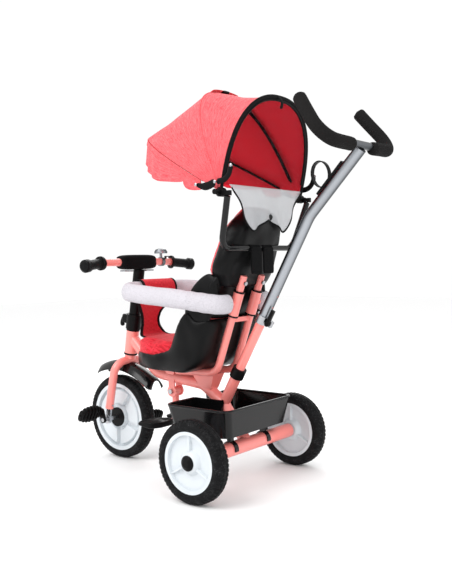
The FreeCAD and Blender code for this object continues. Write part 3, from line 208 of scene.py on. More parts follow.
# ---------------------------------------------------------------- painted frame
# The welded steel frame, fork, stem, handlebar, seat frame, ring arms and footrest.
# Powder coated in glossy salmon pink, with a fine orange peel.

pink = Look("pink_paint", (0.98, 0.27, 0.24), 0.30, Coat_Weight=0.4, Coat_Roughness=0.12)
pink.bump(pink.noise(pink.place(), 520.0, 2.0), 0.00012, 0.35)


def paint_nodes(look, slot_name, *nodes):
    """Gives CAD nodes their look in their own material slots."""
    for node in nodes:
        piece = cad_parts[node]
        piece.data.materials.clear()
        piece.data.materials.append(look.material)


paint_nodes(pink, "pink_paint", "main_frame", "fork", "handlebar", "seat_frame",
            "left_ring_arm", "right_ring_arm", "footrest_bar", "pole_inner_tube")

# ---------------------------------------------------------------- black mouldings
# Bearings, collars, seat shell, clamps, cranks, stays and the other moulded black plastic.
# Injection moulded with a fine grain; they are screwed or clipped to the frame.

black = Look("black_plastic", (0.003, 0.003, 0.0033), 0.34, Specular_IOR_Level=0.11)
grain = black.noise(black.place(), 900.0, 2.0)
black.bump(grain, 0.0002, 0.5)
black.feed("Roughness", 0.34 + grain * 0.16)
paint_nodes(black, "black_plastic", "head_bearings", "pole_collar", "sleeve_rings",
            "canopy_clamps", "canopy_u_frame", "stem",
            "stem_collar", "bell_lever", "front_hub_discs", "crank_arms",
            "left_hub_cap", "right_hub_cap", "bottle_holder", "pole_clamp_lever",
            "canopy_mid_bow", "canopy_front_bow", "canopy_rear_bow")
gloss = Look("gloss_black", (0.004, 0.004, 0.0045), 0.16, Specular_IOR_Level=0.30)
gloss.bump(gloss.noise(gloss.place(), 60.0, 2.0), 0.0004, 0.3)
paint_nodes(gloss, "black_plastic", "rear_basket")

# ---------------------------------------------------------------- bright metal
# Axles, dropout brackets, bolts, the bell and the clamp band, in bright plated steel.
# The push tube is satin aluminium; it and the bell carry a painted reflection, light where they
# face the camera and dark elsewhere.

steel = Look("bright_steel", (0.42, 0.43, 0.45), 0.24, Metallic=1.0)
steel.feed("Roughness", 0.18 + steel.noise(steel.place(), 240.0) * 0.18)
paint_nodes(steel, "bright_steel", "rear_axle_rod", "frame_bolts", "fork_axle_brackets",
            "fork_screws", "front_axle", "pole_clamp")
silver = Look("silver_tube", (0.30, 0.31, 0.335), 0.3, Metallic=1.0)
brushed = silver.noise(silver.stretched(silver.place(), (60, 60, 900)), 1.0, 2.0)
silver.feed("Roughness", 0.24 + brushed * 0.16)
# Painted reflection: the base colour goes from dark to light as the surface turns towards the
# camera, standing in for the dark and bright studio surroundings the metal mirrors.
painted_reflection_share = (silver.axis(silver.place("Normal"), "X") * 0.77
          + silver.axis(silver.place("Normal"), "Y") * 0.63)
silver.feed("Base Color", silver.blend(silver.ramp(painted_reflection_share, 0.45, 1.0), (0.055, 0.060, 0.066),
                                       (0.40, 0.42, 0.45)))
paint_nodes(silver, "silver_tube", "push_handle_tube")
paint_nodes(silver, "bright_steel", "bell")

# ---------------------------------------------------------------- tyres
# Three moulded foam-rubber tyres, pressed on the discs, with flecked sides and a block tread.
# Each turns with its wheel.


def surface(name, points, look, wrap=(False, False), sharp=35):
    """A smooth mesh through a grid of points, with a UV map in metres."""
    points = np.asarray(points, float)
    rows, columns = points.shape[:2]
    down = np.linalg.norm(np.diff(points, axis=0), axis=2).mean(axis=1).cumsum()
    across = np.linalg.norm(np.diff(points, axis=1), axis=2).mean(axis=0).cumsum()
    v_at = np.concatenate([[0], down, [down[-1] + (down[-1] / max(rows - 1, 1))]])
    u_at = np.concatenate([[0], across, [across[-1] + (across[-1] / max(columns - 1, 1))]])
    row_count = rows if wrap[0] else rows - 1
    column_count = columns if wrap[1] else columns - 1
    r, c = np.meshgrid(np.arange(row_count), np.arange(column_count), indexing="ij")
    r, c = r.ravel(), c.ravel()
    r_next, c_next = (r + 1) % rows, (c + 1) % columns
    faces = np.stack([r * columns + c, r * columns + c_next, r_next * columns + c_next,
                      r_next * columns + c], axis=1)
    mesh = bpy.data.meshes.new(name)
    mesh.from_pydata(points.reshape(-1, 3).tolist(), [], faces.tolist())
    uv = mesh.uv_layers.new(name="UVMap")
    corners = np.stack([np.stack([u_at[c], v_at[r]], 1), np.stack([u_at[c + 1], v_at[r]], 1),
                        np.stack([u_at[c + 1], v_at[r + 1]], 1),
                        np.stack([u_at[c], v_at[r + 1]], 1)], axis=1)
    uv.data.foreach_set("uv", corners.reshape(-1).astype(np.float32))
    mesh.shade_smooth()
    mesh.set_sharp_from_angle(angle=math.radians(sharp))
    mesh.materials.append(look.material)
    piece = bpy.data.objects.new(name, mesh)
    bpy.context.scene.collection.objects.link(piece)
    return piece


def turned(name, profile, centre, axis, look, count=160, push=None, sharp=35):
    """A turned piece: (distance along the axis, radius) in metres, spun round the axis."""
    profile = np.asarray(profile, float)
    angles = np.linspace(0, 2 * math.pi, count, endpoint=False)
    along, radius = np.meshgrid(profile[:, 0], np.ones(count), indexing="ij")
    radius = np.repeat(profile[:, 1:2], count, axis=1)
    turn = np.repeat(angles[None, :], len(profile), axis=0)
    if push:
        along, radius = push(along, radius, turn)
    to_axis = Vector((1, 0, 0)).rotation_difference(Vector(axis)).to_matrix()
    grid = np.stack([along, radius * np.cos(turn), radius * np.sin(turn)], axis=2)
    grid = grid @ np.array(to_axis).T + np.array(centre)
    return surface(name, grid, look, (False, True), sharp)


def evened(values, rounds, own=1):
    """Evens a row of values, all but its ends; own is the weight of each value itself."""
    for _ in range(rounds):
        values[1:-1] = (values[:-2] + own * values[1:-1] + values[2:]) / (2 + own)
    return values


def smooth_step(value, low, high):
    share = np.clip((value - low) / (high - low), 0, 1)
    return share * share * (3 - 2 * share)


def fit(piece, body, stands_for=None):
    """Holds a finished piece to its body and in place of its CAD node."""
    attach(piece, body)
    if stands_for:
        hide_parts(stands_for)


tyre_look = Look("tyre_foam", (0.010, 0.010, 0.011), 0.55, Specular_IOR_Level=0.07)
fleck = tyre_look.noise(tyre_look.place(), 620.0, 1.0)
fleck_patch = tyre_look.noise(tyre_look.place(), 70.0, 2.0)
tyre_look.feed("Base Color", tyre_look.blend(
    tyre_look.ramp(fleck + fleck_patch * 0.35, 0.78, 0.90), (0.007, 0.007, 0.0075),
    (0.06, 0.06, 0.064)))
tyre_look.bump(tyre_look.noise(tyre_look.place(), 420.0, 3.0), 0.0005, 0.6)


def tyre_section(radius, rim_radius, width):
    """The outline of a tyre's section: bead, bulged wall, shoulder and crown, and back."""
    half = width / 2
    wall = [(-half + 0.003, rim_radius), (-half + 0.0008, rim_radius + 0.004),
            (-half, rim_radius + 0.009), (-half, radius - 0.014), (-half + 0.0012, radius - 0.009),
            (-half + 0.004, radius - 0.0045), (-half + 0.008, radius - 0.0018),
            (-half + 0.013, radius)]
    crown = [(x, radius) for x in np.linspace(-half + 0.015, half - 0.015, 13)]
    return wall + crown + [(-x, r) for x, r in reversed(wall)]


def tread(radius, half, blocks):
    """Cuts a block tread: two rows of slanted lugs round a centre rib."""
    def push(along, around, turn):
        lean = turn * blocks / (2 * math.pi) + np.abs(along) / half * 0.35
        lug = smooth_step(np.abs((lean % 1) - 0.5), 0.30, 0.38)
        lane = smooth_step(np.abs(np.abs(along) - half * 0.30), 0.0004, 0.0016)
        deep = np.maximum(lug * smooth_step(np.abs(along), half * 0.34, half * 0.42), 1 - lane)
        crown = smooth_step(around, radius - 0.011, radius - 0.004)
        return along, around - 0.0019 * deep * crown
    return push


TYRE_WIDE = 0.043
WHEELS = (("left_rear", at(216, 0, 103), 0.103, 0.076, 54),
          ("right_rear", at(-216, 0, 103), 0.103, 0.076, 54),
          ("front", at(0, -478, 125), 0.125, 0.101, 64))
for name, middle, radius, rim_radius, blocks in WHEELS:
    tyre = turned(name + "_tyre_rubber", tyre_section(radius, rim_radius, TYRE_WIDE), middle,
                  (1, 0, 0), tyre_look, blocks * 12, tread(radius, TYRE_WIDE / 2, blocks), 50)
    fit(tyre, name + "_wheel", name + "_tyre")

# ---------------------------------------------------------------- wheel discs
# White moulded discs: rear ones with three ribs and a domed middle, the front one with five
# raised fans.  Each runs on its steel axle.

white = Look("white_plastic", (0.64, 0.68, 0.71), 0.35, Specular_IOR_Level=0.3)
white.bump(white.noise(white.place(), 300.0, 2.0), 0.0002, 0.25)


def disc(name, middle, rim_radius, hub_radius, height, look):
    """A wheel disc whose two faces stand at a height given by radius and angle."""
    radii = np.concatenate([[hub_radius], np.linspace(hub_radius + 0.001, rim_radius - 0.001, 84),
                            [rim_radius]])
    angles = np.linspace(0, 2 * math.pi, 240, endpoint=False)
    around, turn = np.meshgrid(radii, angles, indexing="ij")
    rise = height(around, turn)
    faces = []
    for side in (1, -1):
        faces.append(np.stack([side * rise, around * np.cos(turn), around * np.sin(turn)], axis=2))
    grid = np.concatenate([faces[0], faces[1][::-1]], axis=0) + np.array(middle)
    return surface(name, grid, look, (True, True), 40)


def rear_height(half):
    def height(around, turn):
        ring = smooth_step(around, 0.0655, 0.0672)
        nearest = np.minimum.reduce([np.abs(((turn - start + math.pi) % (2 * math.pi)) - math.pi)
                                     for start in (math.pi / 2, 3.665, 5.76)])
        rib = 1 - smooth_step(nearest * around, 0.0026, 0.0044)
        rib = rib * smooth_step(around, 0.024, 0.028)
        dome = 1 - smooth_step(around, 0.020, 0.040)
        low = 0.0065 + 0.0030 * smooth_step(around, 0.040, 0.064)
        return np.maximum.reduce([low, ring * (half - 0.003), rib * 0.0155, dome * (half - 0.002)])
    return height


def front_height(half):
    def height(around, turn):
        ring = smooth_step(around, 0.0885, 0.0902)
        turn = (turn + 0.35) % (2 * math.pi / 5)
        edge = np.minimum(turn, 2 * math.pi / 5 - turn) * around
        fan = smooth_step(edge, 0.0055, 0.0090) * smooth_step(around, 0.036, 0.041)
        fan = fan * (1 - smooth_step(around, 0.080, 0.085))
        dome = 1 - smooth_step(around, 0.028, 0.036)
        return np.maximum.reduce([0.0050 + 0 * around, ring * (half - 0.003), 0.0050 + fan * 0.0105,
                                  dome * (half - 0.002)])
    return height


for name, middle, _, rim_radius, _ in WHEELS:
    height = (front_height if name == "front" else rear_height)(TYRE_WIDE / 2)
    hub = 0.0065 if name == "front" else 0.0055
    plate = disc(name + "_wheel_disc", middle, rim_radius, hub, height, white)
    fit(plate, name + "_wheel", name + "_disc")

# ---------------------------------------------------------------- grips, treads and pedals
# Black plastic handlebar grips with fine rings, and ribbed footrest treads.
# The grips push on the handlebar's ends and the treads slide on the footrest's crossbar.

ribbed = Look("ribbed_plastic", (0.004, 0.004, 0.0045), 0.42, Specular_IOR_Level=0.11)
ribbed.bump(ribbed.threads("X", 1400.0, "Object"), 0.0006, 0.8)
paint_nodes(ribbed, "black_plastic", "handlebar_grips")


def pillow(name, middle, half, look, power=3.2, turn=None, shape=None, rows=48, columns=72):
    """A rounded block about its middle; shape changes its points before it is turned."""
    lat = np.linspace(-math.pi / 2, math.pi / 2, rows)
    lon = np.linspace(0, 2 * math.pi, columns, endpoint=False)
    la, lo = np.meshgrid(lat, lon, indexing="ij")

    def part(value):
        return np.sign(value) * np.abs(value) ** (2 / power)

    grid = np.stack([half[0] * part(np.cos(la)) * part(np.cos(lo)),
                     half[1] * part(np.cos(la)) * part(np.sin(lo)),
                     half[2] * part(np.sin(la))], axis=2)
    if shape:
        grid = shape(grid)
    if turn is not None:
        grid = grid @ np.array(turn).T
    return surface(name, grid + np.array(middle), look, (False, True), 60)



def hollowed(grid):
    """Draws a pedal's body in along its middle."""
    waist = 1 - 0.10 * smooth_step(np.abs(grid[:, :, 1]), 0.016, 0.004)
    return grid * np.stack([np.ones_like(waist), np.ones_like(waist), waist], axis=2)


SIDES = (("left", 1), ("right", -1))
tilt = Matrix.Rotation(math.radians(62), 3, "X")
for side_name, side in SIDES:
    low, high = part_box(side_name + "_pedal")
    middle = (low + high) / 2
    body = pillow(side_name + "_pedal_body", middle, (0.034, 0.0195, 0.0085), black, 3.5, tilt,
                  hollowed)
    fit(body, side_name + "_pedal", side_name + "_pedal")
    for number, place in enumerate(np.linspace(-0.0345, 0.0345, 7)):
        full = math.sqrt(1 - (place / 0.047) ** 2)
        slat = pillow("%s_pedal_rib_%d" % (side_name, number), middle + Vector((place, 0, 0)),
                      (0.0036, 0.0262 * full, 0.0128 * full), black, 3, tilt, None, 20, 28)
        fit(slat, side_name + "_pedal")

tread_low, tread_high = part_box("footrest_treads")
for side_name, side in SIDES:
    middle = Vector((side * 0.061, (tread_low.y + tread_high.y) / 2 - 0.003,
                     (tread_low.z + tread_high.z) / 2))

    def blade(grid):
        front = smooth_step(grid[:, :, 1], 0.020, -0.032)
        outer = smooth_step(side * grid[:, :, 0], 0.010, 0.039)
        thin = 1 - 0.50 * front
        ribs = 1 + 0.10 * np.sin(grid[:, :, 0] * 1100) * (grid[:, :, 2] > 0)
        return np.stack([grid[:, :, 0], grid[:, :, 1] * (1 - 0.22 * outer),
                         grid[:, :, 2] * thin * ribs], axis=2)

    tread_plate = pillow(side_name + "_tread_plate", middle, (0.044, 0.042, 0.0100), black, 4.5,
                         None, blade, 90, 180)
    fit(tread_plate, "footrest", "footrest_treads" if side > 0 else None)

# ---------------------------------------------------------------- mudguard
# A domed black guard over the front wheel, arched along its length with a soft crease.
# It is screwed under the fork's crown and turns with the steering.


def settle(piece):
    """Makes a piece's modifiers part of its mesh."""
    graph = bpy.context.evaluated_depsgraph_get()
    graph.update()
    final = bpy.data.meshes.new_from_object(piece.evaluated_get(graph))
    piece.modifiers.clear()
    piece.data = final


def thicken(piece, thickness, offset=0.0, inner=None):
    """Gives a sheet its thickness; inner is the look of its back face."""
    solid = piece.modifiers.new("thickness", "SOLIDIFY")
    solid.thickness = thickness
    solid.offset = offset
    solid.use_even_offset = True
    if inner:
        piece.data.materials.append(inner.material)
        solid.material_offset = 1
    settle(piece)
    return piece


low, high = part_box("mudguard")
guard_y = np.linspace(low.y, high.y, 60)
rise = np.polyfit([low.y, at(0, -437, 0).y, high.y], [0.2700, 0.2870, 0.2380], 2)
side_share = np.linspace(-1, 1, 41)
from_tip = np.minimum((guard_y - low.y) / 0.030, (high.y - guard_y) / 0.012).clip(0, 1)
half_wide = 0.034 * (0.62 + 0.38 * np.sqrt(1 - (1 - from_tip) ** 2))
guard_grid = np.stack(np.broadcast_arrays(
    half_wide[:, None] * side_share[None, :], guard_y[:, None],
    np.polyval(rise, guard_y)[:, None] + 0.0060
    - 0.0250 * np.abs(side_share[None, :]) ** 2.2), axis=2)
guard = thicken(surface("mudguard_shell", guard_grid, gloss, sharp=60), 0.0024)
fit(guard, "steering", "mudguard")

# ---------------------------------------------------------------- foam handle grips
# Two closed-cell foam sleeves on the push handle, with rounded tips.
# They grip the bent crossbar by their own stretch and ride with the handle.

foam_look = Look("foam", (0.010, 0.010, 0.010), 0.80, Specular_IOR_Level=0.06)
pores = foam_look.cells(foam_look.place(), 900.0)
foam_look.bump(pores, 0.0006, 0.55)
foam_look.feed("Base Color", foam_look.blend(
    foam_look.noise(foam_look.place(), 260.0), (0.008, 0.0075, 0.0075), (0.017, 0.016, 0.016)))


def rounded_path(corners, radii, step=0.004):
    """Points along straight runs joined by arcs, evenly spaced."""
    path = [Vector(corners[0])]
    for before, corner, after, radius in zip(corners, corners[1:], corners[2:], radii):
        inward = (Vector(before) - Vector(corner)).normalized()
        outward = (Vector(after) - Vector(corner)).normalized()
        half_turn = (math.pi - inward.angle(outward)) / 2
        reach = radius * math.tan(half_turn)
        hub = Vector(corner) + (inward + outward).normalized() * (radius / math.cos(half_turn))
        first = Vector(corner) + inward * reach - hub
        last = Vector(corner) + outward * reach - hub
        for share in np.linspace(0, 1, 14):
            path.append(hub + radius * first.normalized().slerp(last.normalized(), float(share)))
    path.append(Vector(corners[-1]))
    path = np.array([tuple(p) for p in path])
    length = np.concatenate([[0], np.linalg.norm(np.diff(path, axis=0), axis=1).cumsum()])
    keep = np.concatenate([[True], np.diff(length) > 1e-7])
    path, length = path[keep], length[keep]
    marks = np.linspace(0, length[-1], max(int(length[-1] / step), 2) + 1)
    return np.stack([np.interp(marks, length, path[:, k]) for k in range(3)], axis=1)


def swept(name, path, section, look, up=(0, 0, 1), count=28, ends=0.0, push=None, sharp=50):
    """A closed rod along a path; section gives (across, tall) half sizes in metres.
    ends rounds its tips over that length; push changes the size round the rod."""
    tangent = np.gradient(path, axis=0)
    tangent /= np.linalg.norm(tangent, axis=1)[:, None]
    across = np.cross(tangent, np.array(up, float))
    across /= np.linalg.norm(across, axis=1)[:, None]
    tall = np.cross(across, tangent)
    length = np.concatenate([[0], np.linalg.norm(np.diff(path, axis=0), axis=1).cumsum()])
    from_end = np.minimum(length, length[-1] - length)
    swell = np.ones(len(path))
    if ends:
        inside = np.clip(from_end / ends, 0, 1)
        swell = np.sqrt(np.clip(1 - (1 - inside) ** 2, 0, 1)) * 0.985 + 0.015
    turn = np.linspace(0, 2 * math.pi, count, endpoint=False)
    scale = push(length[:, None], turn[None, :]) if push else np.ones((len(path), count))
    wide = (swell * section[0])[:, None] * np.cos(turn)[None, :] * scale
    high = (swell * section[1])[:, None] * np.sin(turn)[None, :] * scale
    grid = (path[:, None, :] + wide[:, :, None] * across[:, None, :]
            + high[:, :, None] * tall[:, None, :])
    rod = surface(name, grid, look, (False, True), sharp)
    close_ends(rod, len(path), count)
    return rod


def close_ends(rod, rows, count):
    """Fills the two open ends of a swept rod."""
    mesh = rod.data
    ends = [list(range(count))[::-1], list(range((rows - 1) * count, rows * count))]
    faces = [list(face.vertices) for face in mesh.polygons] + ends
    uvs = np.zeros(len(mesh.loops) * 2, np.float32)
    mesh.uv_layers[0].data.foreach_get("uv", uvs)
    filled = bpy.data.meshes.new(mesh.name)
    filled.from_pydata([tuple(v.co) for v in mesh.vertices], [], faces)
    layer = filled.uv_layers.new(name="UVMap")
    layer.data.foreach_set("uv", np.concatenate([uvs, np.zeros(4 * count, np.float32)]))
    filled.shade_smooth()
    filled.set_sharp_from_angle(angle=math.radians(60))
    for material in mesh.materials:
        filled.materials.append(material)
    rod.data = filled


grip_low, grip_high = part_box("foam_grips")
grip_level = grip_low.z + 0.0157
grip_back = grip_high.y - 0.0157
for side in (1, -1):
    corners = [Vector((side * 0.042, grip_back, grip_level)),
               Vector((side * 0.172, grip_back - 0.004, grip_level + 0.004)),
               Vector((side * 0.132, grip_back - 0.086, grip_level + 0.110))]
    path = rounded_path(corners, [0.044])

    def squeezed(length, turn):
        return 1 + 0.02 * np.sin(length * 90) * np.cos(turn) + 0.010 * np.sin(length * 31)

    foam = swept("foam_grip_%s" % ("left" if side > 0 else "right"), path, (0.0156, 0.0156),
                 foam_look, (0.0, 0.9, 0.45), 32, 0.010, squeezed)
    fit(foam, "push_handle", "foam_grips" if side > 0 else None)

# ---------------------------------------------------------------- ring padding
# Two foam sleeves covered in pale air-mesh cloth round the halves of the safety ring.
# They ride with their arms, meet at the front under the strap and taper in to the sleeves.

mesh_cloth = Look("air_mesh", (0.62, 0.60, 0.64), 0.85, Specular_IOR_Level=0.2)
holes = mesh_cloth.cells(mesh_cloth.place(), 460.0)
mesh_cloth.feed("Base Color", mesh_cloth.blend(mesh_cloth.ramp(holes, 0.05, 0.45),
                                               (0.30, 0.285, 0.315), (0.58, 0.56, 0.60)))
mesh_cloth.bump(holes, 0.0010, 0.6)
RING_UP = 476


def ring_hub():
    return -62 + (RING_UP - 303) * math.tan(math.radians(20.8))


def ring_line(side, start):
    """The bent line of one half ring in millimetres, from its upright to the front's middle."""
    hub = ring_hub()
    return [at(side * start, hub, RING_UP), at(side * 104, hub - 2, RING_UP),
            at(side * 142, hub - 86, RING_UP + 14), at(side * 142, -292, RING_UP + 32),
            at(side * 100, -322, RING_UP + 35), at(side * 1.0, -322, RING_UP + 36)]


for side_name, side in SIDES:
    path = rounded_path(ring_line(side, 60), [0.034, 0.060, 0.030, 0.040], 0.003)

    def wrinkled(length, turn):
        folds = 0.020 * np.sin(length * 210 + 2.2 * np.sin(turn)) * smooth_step(
            np.abs(length - 0.10), 0.09, 0.0)
        slack = 0.018 * np.sin(length * 37 + turn) + 0.012 * np.sin(length * 61 - 2 * turn)
        from_seam = np.abs(((turn - 4.9 + math.pi) % (2 * math.pi)) - math.pi)
        seam = -0.035 * np.exp(-(from_seam / 0.07) ** 2)
        return 1 + folds + slack + seam

    padding = swept(side_name + "_air_mesh_padding", path, (0.0170, 0.0248), mesh_cloth,
                    (0, 0, 1), 40, 0.012, wrinkled)
    fit(padding, side_name + "_ring_half", side_name + "_ring_padding")

# ---------------------------------------------------------------- handlebar pad
# A soft block in black plush round the middle of the handlebar, with two plates under it.
# It is closed round the bar and rides with the steering.

plush = Look("black_plush", (0.004, 0.004, 0.0045), 0.92, Specular_IOR_Level=0.08,
             Sheen_Weight=0.03)
plush.bump(plush.noise(plush.place(), 700.0, 3.0), 0.0010, 0.7)
pad_middle = at(0, -398, 591)
bar_pad = pillow("handlebar_pad_cloth", pad_middle, (0.069, 0.0245, 0.0215), plush, 4.5)
fit(bar_pad, "steering", "handlebar_pad")
for side in (-1, 1):
    plate = pillow("bar_plate_%s" % ("left" if side > 0 else "right"), at(side * 42, -396, 566),
                   (0.017, 0.012, 0.0028), steel, 8)
    fit(plate, "steering")

# ---------------------------------------------------------------- seat cushion and backrest
# A red seat cushion in a black bucket, and a coral pad on a black covered backrest.
# Each is stuffed with foam and held to its shell by snaps.

coral = Look("coral_melange", (0.80, 0.11, 0.12), 0.82, Specular_IOR_Level=0.2,
             Sheen_Weight=0.12)
threads = coral.stretched(coral.place("UV"), (90.0, 1500.0, 1.0))
streak = coral.noise(threads, 1.0, 2.5)
patch = coral.noise(coral.stretched(coral.place("UV"), (25.0, 320.0, 1.0)), 1.0, 2.0)
coral.feed("Base Color", coral.blend(coral.ramp(streak * 0.65 + patch * 0.35, 0.36, 0.66),
                                     (0.68, 0.038, 0.055), (0.88, 0.19, 0.205)))
coral.bump(coral.threads("X", 5200.0) * coral.threads("Y", 5200.0) * 0.5 + streak, 0.0004, 0.55)


def points_of(piece):
    return np.array([v.co for v in piece.data.vertices])


def inflate(node, name, look, voxel=0.005, cap=0.010, pressure=4.0):
    """A stuffed piece made from a plain CAD solid, blown up a little as cloth."""
    piece = bpy.data.objects.new(name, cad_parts[node].data.copy())
    bpy.context.scene.collection.objects.link(piece)
    remesh = piece.modifiers.new("remesh", "REMESH")
    remesh.mode = "VOXEL"
    remesh.voxel_size = voxel
    settle(piece)
    rest = points_of(piece)
    cloth = piece.modifiers.new("cloth", "CLOTH")
    cloth.settings.use_pressure = True
    cloth.settings.uniform_pressure_force = pressure
    cloth.settings.effector_weights.gravity = 0.0
    cloth.settings.quality = 4
    cloth.point_cache.frame_start = 1
    cloth.point_cache.frame_end = 20
    for number in range(1, 21):
        bpy.context.scene.frame_set(number)
    settle(piece)
    bpy.context.scene.frame_set(1)
    step = points_of(piece) - rest
    far = np.linalg.norm(step, axis=1)[:, None]
    moved = rest + step * np.minimum(1, cap / np.maximum(far, 1e-9))
    piece.data.vertices.foreach_set("co", moved.ravel())
    piece.data.materials.clear()
    piece.data.materials.append(look.material)
    piece.data.shade_smooth()
    return piece


def relax(piece, rounds, share=0.5):
    """Smooths a mesh towards its neighbours' mean."""
    mesh = piece.data
    co = points_of(piece)
    ends = np.array([e.vertices for e in mesh.edges])
    count = np.zeros(len(co))
    np.add.at(count, ends[:, 0], 1)
    np.add.at(count, ends[:, 1], 1)
    for _ in range(rounds):
        total = np.zeros_like(co)
        np.add.at(total, ends[:, 0], co[ends[:, 1]])
        np.add.at(total, ends[:, 1], co[ends[:, 0]])
        co += (total / count[:, None] - co) * share
    mesh.vertices.foreach_set("co", co.ravel())
    mesh.update()


def flat_map(piece, first, second):
    """A UV map in metres by looking straight at a piece along the third direction."""
    mesh = piece.data
    layer = mesh.uv_layers.get("UVMap") or mesh.uv_layers.new(name="UVMap")
    co = points_of(piece)
    index = np.zeros(len(mesh.loops), int)
    mesh.loops.foreach_get("vertex_index", index)
    uv = np.stack([co[index] @ np.array(first), co[index] @ np.array(second)], axis=1)
    layer.data.foreach_set("uv", uv.astype(np.float32).ravel())


red = Look("red_weave", (0.50, 0.010, 0.030), 0.8, Specular_IOR_Level=0.2, Sheen_Weight=0.1)
red_thread = red.noise(red.stretched(red.place("UV"), (700.0, 140.0, 1.0)), 1.0, 2.0)
red.feed("Base Color", red.blend(red.ramp(red_thread, 0.35, 0.7), (0.52, 0.006, 0.016),
                                 (0.86, 0.030, 0.055)))
red.bump(red.threads("Y", 4200.0) * 0.5 + red_thread, 0.0005, 0.6)
shell_cloth = Look("black_cover", (0.003, 0.003, 0.0033), 0.34, Specular_IOR_Level=0.12)
creases = shell_cloth.noise(shell_cloth.stretched(shell_cloth.place(), (11.0, 11.0, 8.0)),
                            1.0, 1.0)
fine = shell_cloth.noise(shell_cloth.place(), 900.0, 2.0)
shell_cloth.bump(creases + fine * 0.008, 0.030, 0.7)
for node, name, look, slot_name, cap, rounds in (
        ("seat_cushion", "seat_cushion_cloth", red, "red_fabric", 0.007, 3),
        ("backrest_pad", "backrest_cloth", coral, "coral_fabric", 0.008, 3),
        ("seat_shell", "seat_shell_cover", shell_cloth, "black_plastic", 0.004, 16),
        ("backrest_shell", "backrest_cover", shell_cloth, "black_plastic", 0.006, 12)):
    cushion = inflate(node, name, look, 0.005, cap)
    relax(cushion, rounds)
    co = points_of(cushion)
    if node in ("backrest_shell", "backrest_pad"):
        lean = np.array([0, -math.cos(math.radians(20.8)), math.sin(math.radians(20.8))])
        depth = co @ lean
        round_top = 1 - 0.50 * smooth_step(co[:, 2], 0.650, 0.732) ** 1.3
        hips = 0.09 * np.exp(-((co[:, 2] - 0.570) / 0.050) ** 2)
        if node == "backrest_shell":
            co += (depth - depth.min())[:, None] * 0.62 * lean
            bulge = 0.010 * (1 - (co[:, 0] / 0.12) ** 2).clip(0, 1)
            co -= bulge[:, None] * lean * (depth < depth.min() + 0.006)[:, None]
            co[:, 0] *= (1.035 + hips) * round_top
        else:
            co = co + 0.006 * lean
            co[:, 0] *= (0.975 + hips) * round_top
    else:
        forward = np.clip((at(0, -205, 0).y - co[:, 1]) / 0.175, 0, 1)
        co[:, 0] *= 1 - 0.64 * forward ** 2.0
        co[:, 1] += 0.020 * forward ** 1.5
    cushion.data.vertices.foreach_set("co", co.ravel())
    flat_map(cushion, (1, 0, 0), (0, 0.36, 0.93))
    fit(cushion, "frame", node)

# ---------------------------------------------------------------- side bolsters
# Two black padded wings that carry the bucket's sides up to the backrest.
# They are one cover with the seat's and are stuffed with foam.

for side_name, side in SIDES:
    def wing(grid):
        top = smooth_step(grid[:, :, 2], 0.0, 0.09)
        return np.stack([grid[:, :, 0] - side * 0.006 * top, grid[:, :, 1] * (1 - 0.30 * top),
                         grid[:, :, 2]], axis=2)

    bolster = pillow(side_name + "_bolster", at(side * 104, -56, 484), (0.0125, 0.044, 0.076),
                     shell_cloth, 2.6, Matrix.Rotation(math.radians(-27), 3, "X"), wing)
    fit(bolster, "frame")
lumbar = pillow("lumbar_panel", at(0, -27, 500), (0.112, 0.0110, 0.066), shell_cloth, 4.0,
                Matrix.Rotation(math.radians(-20.8), 3, "X"))
fit(lumbar, "frame")

# ---------------------------------------------------------------- crotch strap
# A red woven strap, wide where it wraps the ring's front and at the cushion, narrow between.
# Its two edges are bound in black; the loop closes with hook-and-loop tape.

binding = Look("black_binding", (0.005, 0.005, 0.0055), 0.75, Specular_IOR_Level=0.12)
binding.bump(binding.threads("Y", 3600.0), 0.0004, 0.5)

ring_front = at(0, -322, RING_UP + 36)
loop = []
for angle in np.linspace(math.radians(-80), math.radians(262), 60):
    loop.append((ring_front.y - 0.0205 * math.cos(angle), ring_front.z + 0.0282 * math.sin(angle)))
loop = loop[::-1]
tail = [(at(0, -333, 470).y, 0.470), (at(0, -343, 447).y, 0.447), (at(0, -347, 421).y, 0.421),
        (at(0, -345, 398).y, 0.398), (at(0, -338, 381).y, 0.381), (at(0, -322, 376).y, 0.376),
        (at(0, -300, 376).y, 0.376)]
line = np.array(loop + tail)
length = np.concatenate([[0], np.linalg.norm(np.diff(line, axis=0), axis=1).cumsum()])
marks = np.linspace(0, length[-1], 150)
line = np.stack([np.interp(marks, length, line[:, k]) for k in range(2)], axis=1)
evened(line, 6, 2)
loop_end = length[len(loop) - 1]
down_tail = np.clip((marks - loop_end) / (length[-1] - loop_end), 0, 1)
half_wide = np.interp(down_tail, [0, 0.12, 0.30, 0.42, 0.55, 0.75, 1.0],
                      [0.064, 0.057, 0.038, 0.032, 0.033, 0.048, 0.054])
evened(half_wide, 4)
spread = np.linspace(-1, 1, 41)
strap_grid = np.stack([half_wide[:, None] * spread[None, :], np.repeat(line[:, :1], 41, axis=1),
                       np.repeat(line[:, 1:], 41, axis=1)], axis=2)
bow_out = 0.004 * (1 - spread[None, :] ** 2) * np.sin(math.pi * down_tail)[:, None]
strap_grid[:, :, 1] -= bow_out
strap = thicken(surface("red_crotch_strap", strap_grid, red, sharp=70), 0.003)
strips = []
for edge, tag in ((0, "right"), (-1, "left")):
    path = strap_grid[:, edge, :]
    strips.append(swept("strap_binding_" + tag, path, (0.0024, 0.0052), binding, (1, 0, 0), 14))
fit(strap, "frame", "crotch_strap")
for strip in strips:
    fit(strip, "frame")
for cloth in [strap] + strips:
    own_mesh(cloth)

# ---------------------------------------------------------------- canopy cloth
# Coral melange cloth stretched over three sprung bows, lined in dark red, with black bindings,
# a scalloped valance and piped seams.  The front part folds back with its bows.

lining = Look("red_lining", (0.95, 0.028, 0.055), 0.85, Specular_IOR_Level=0.2)
lining.bump(lining.noise(lining.place(), 700.0, 2.0), 0.0004, 0.5)
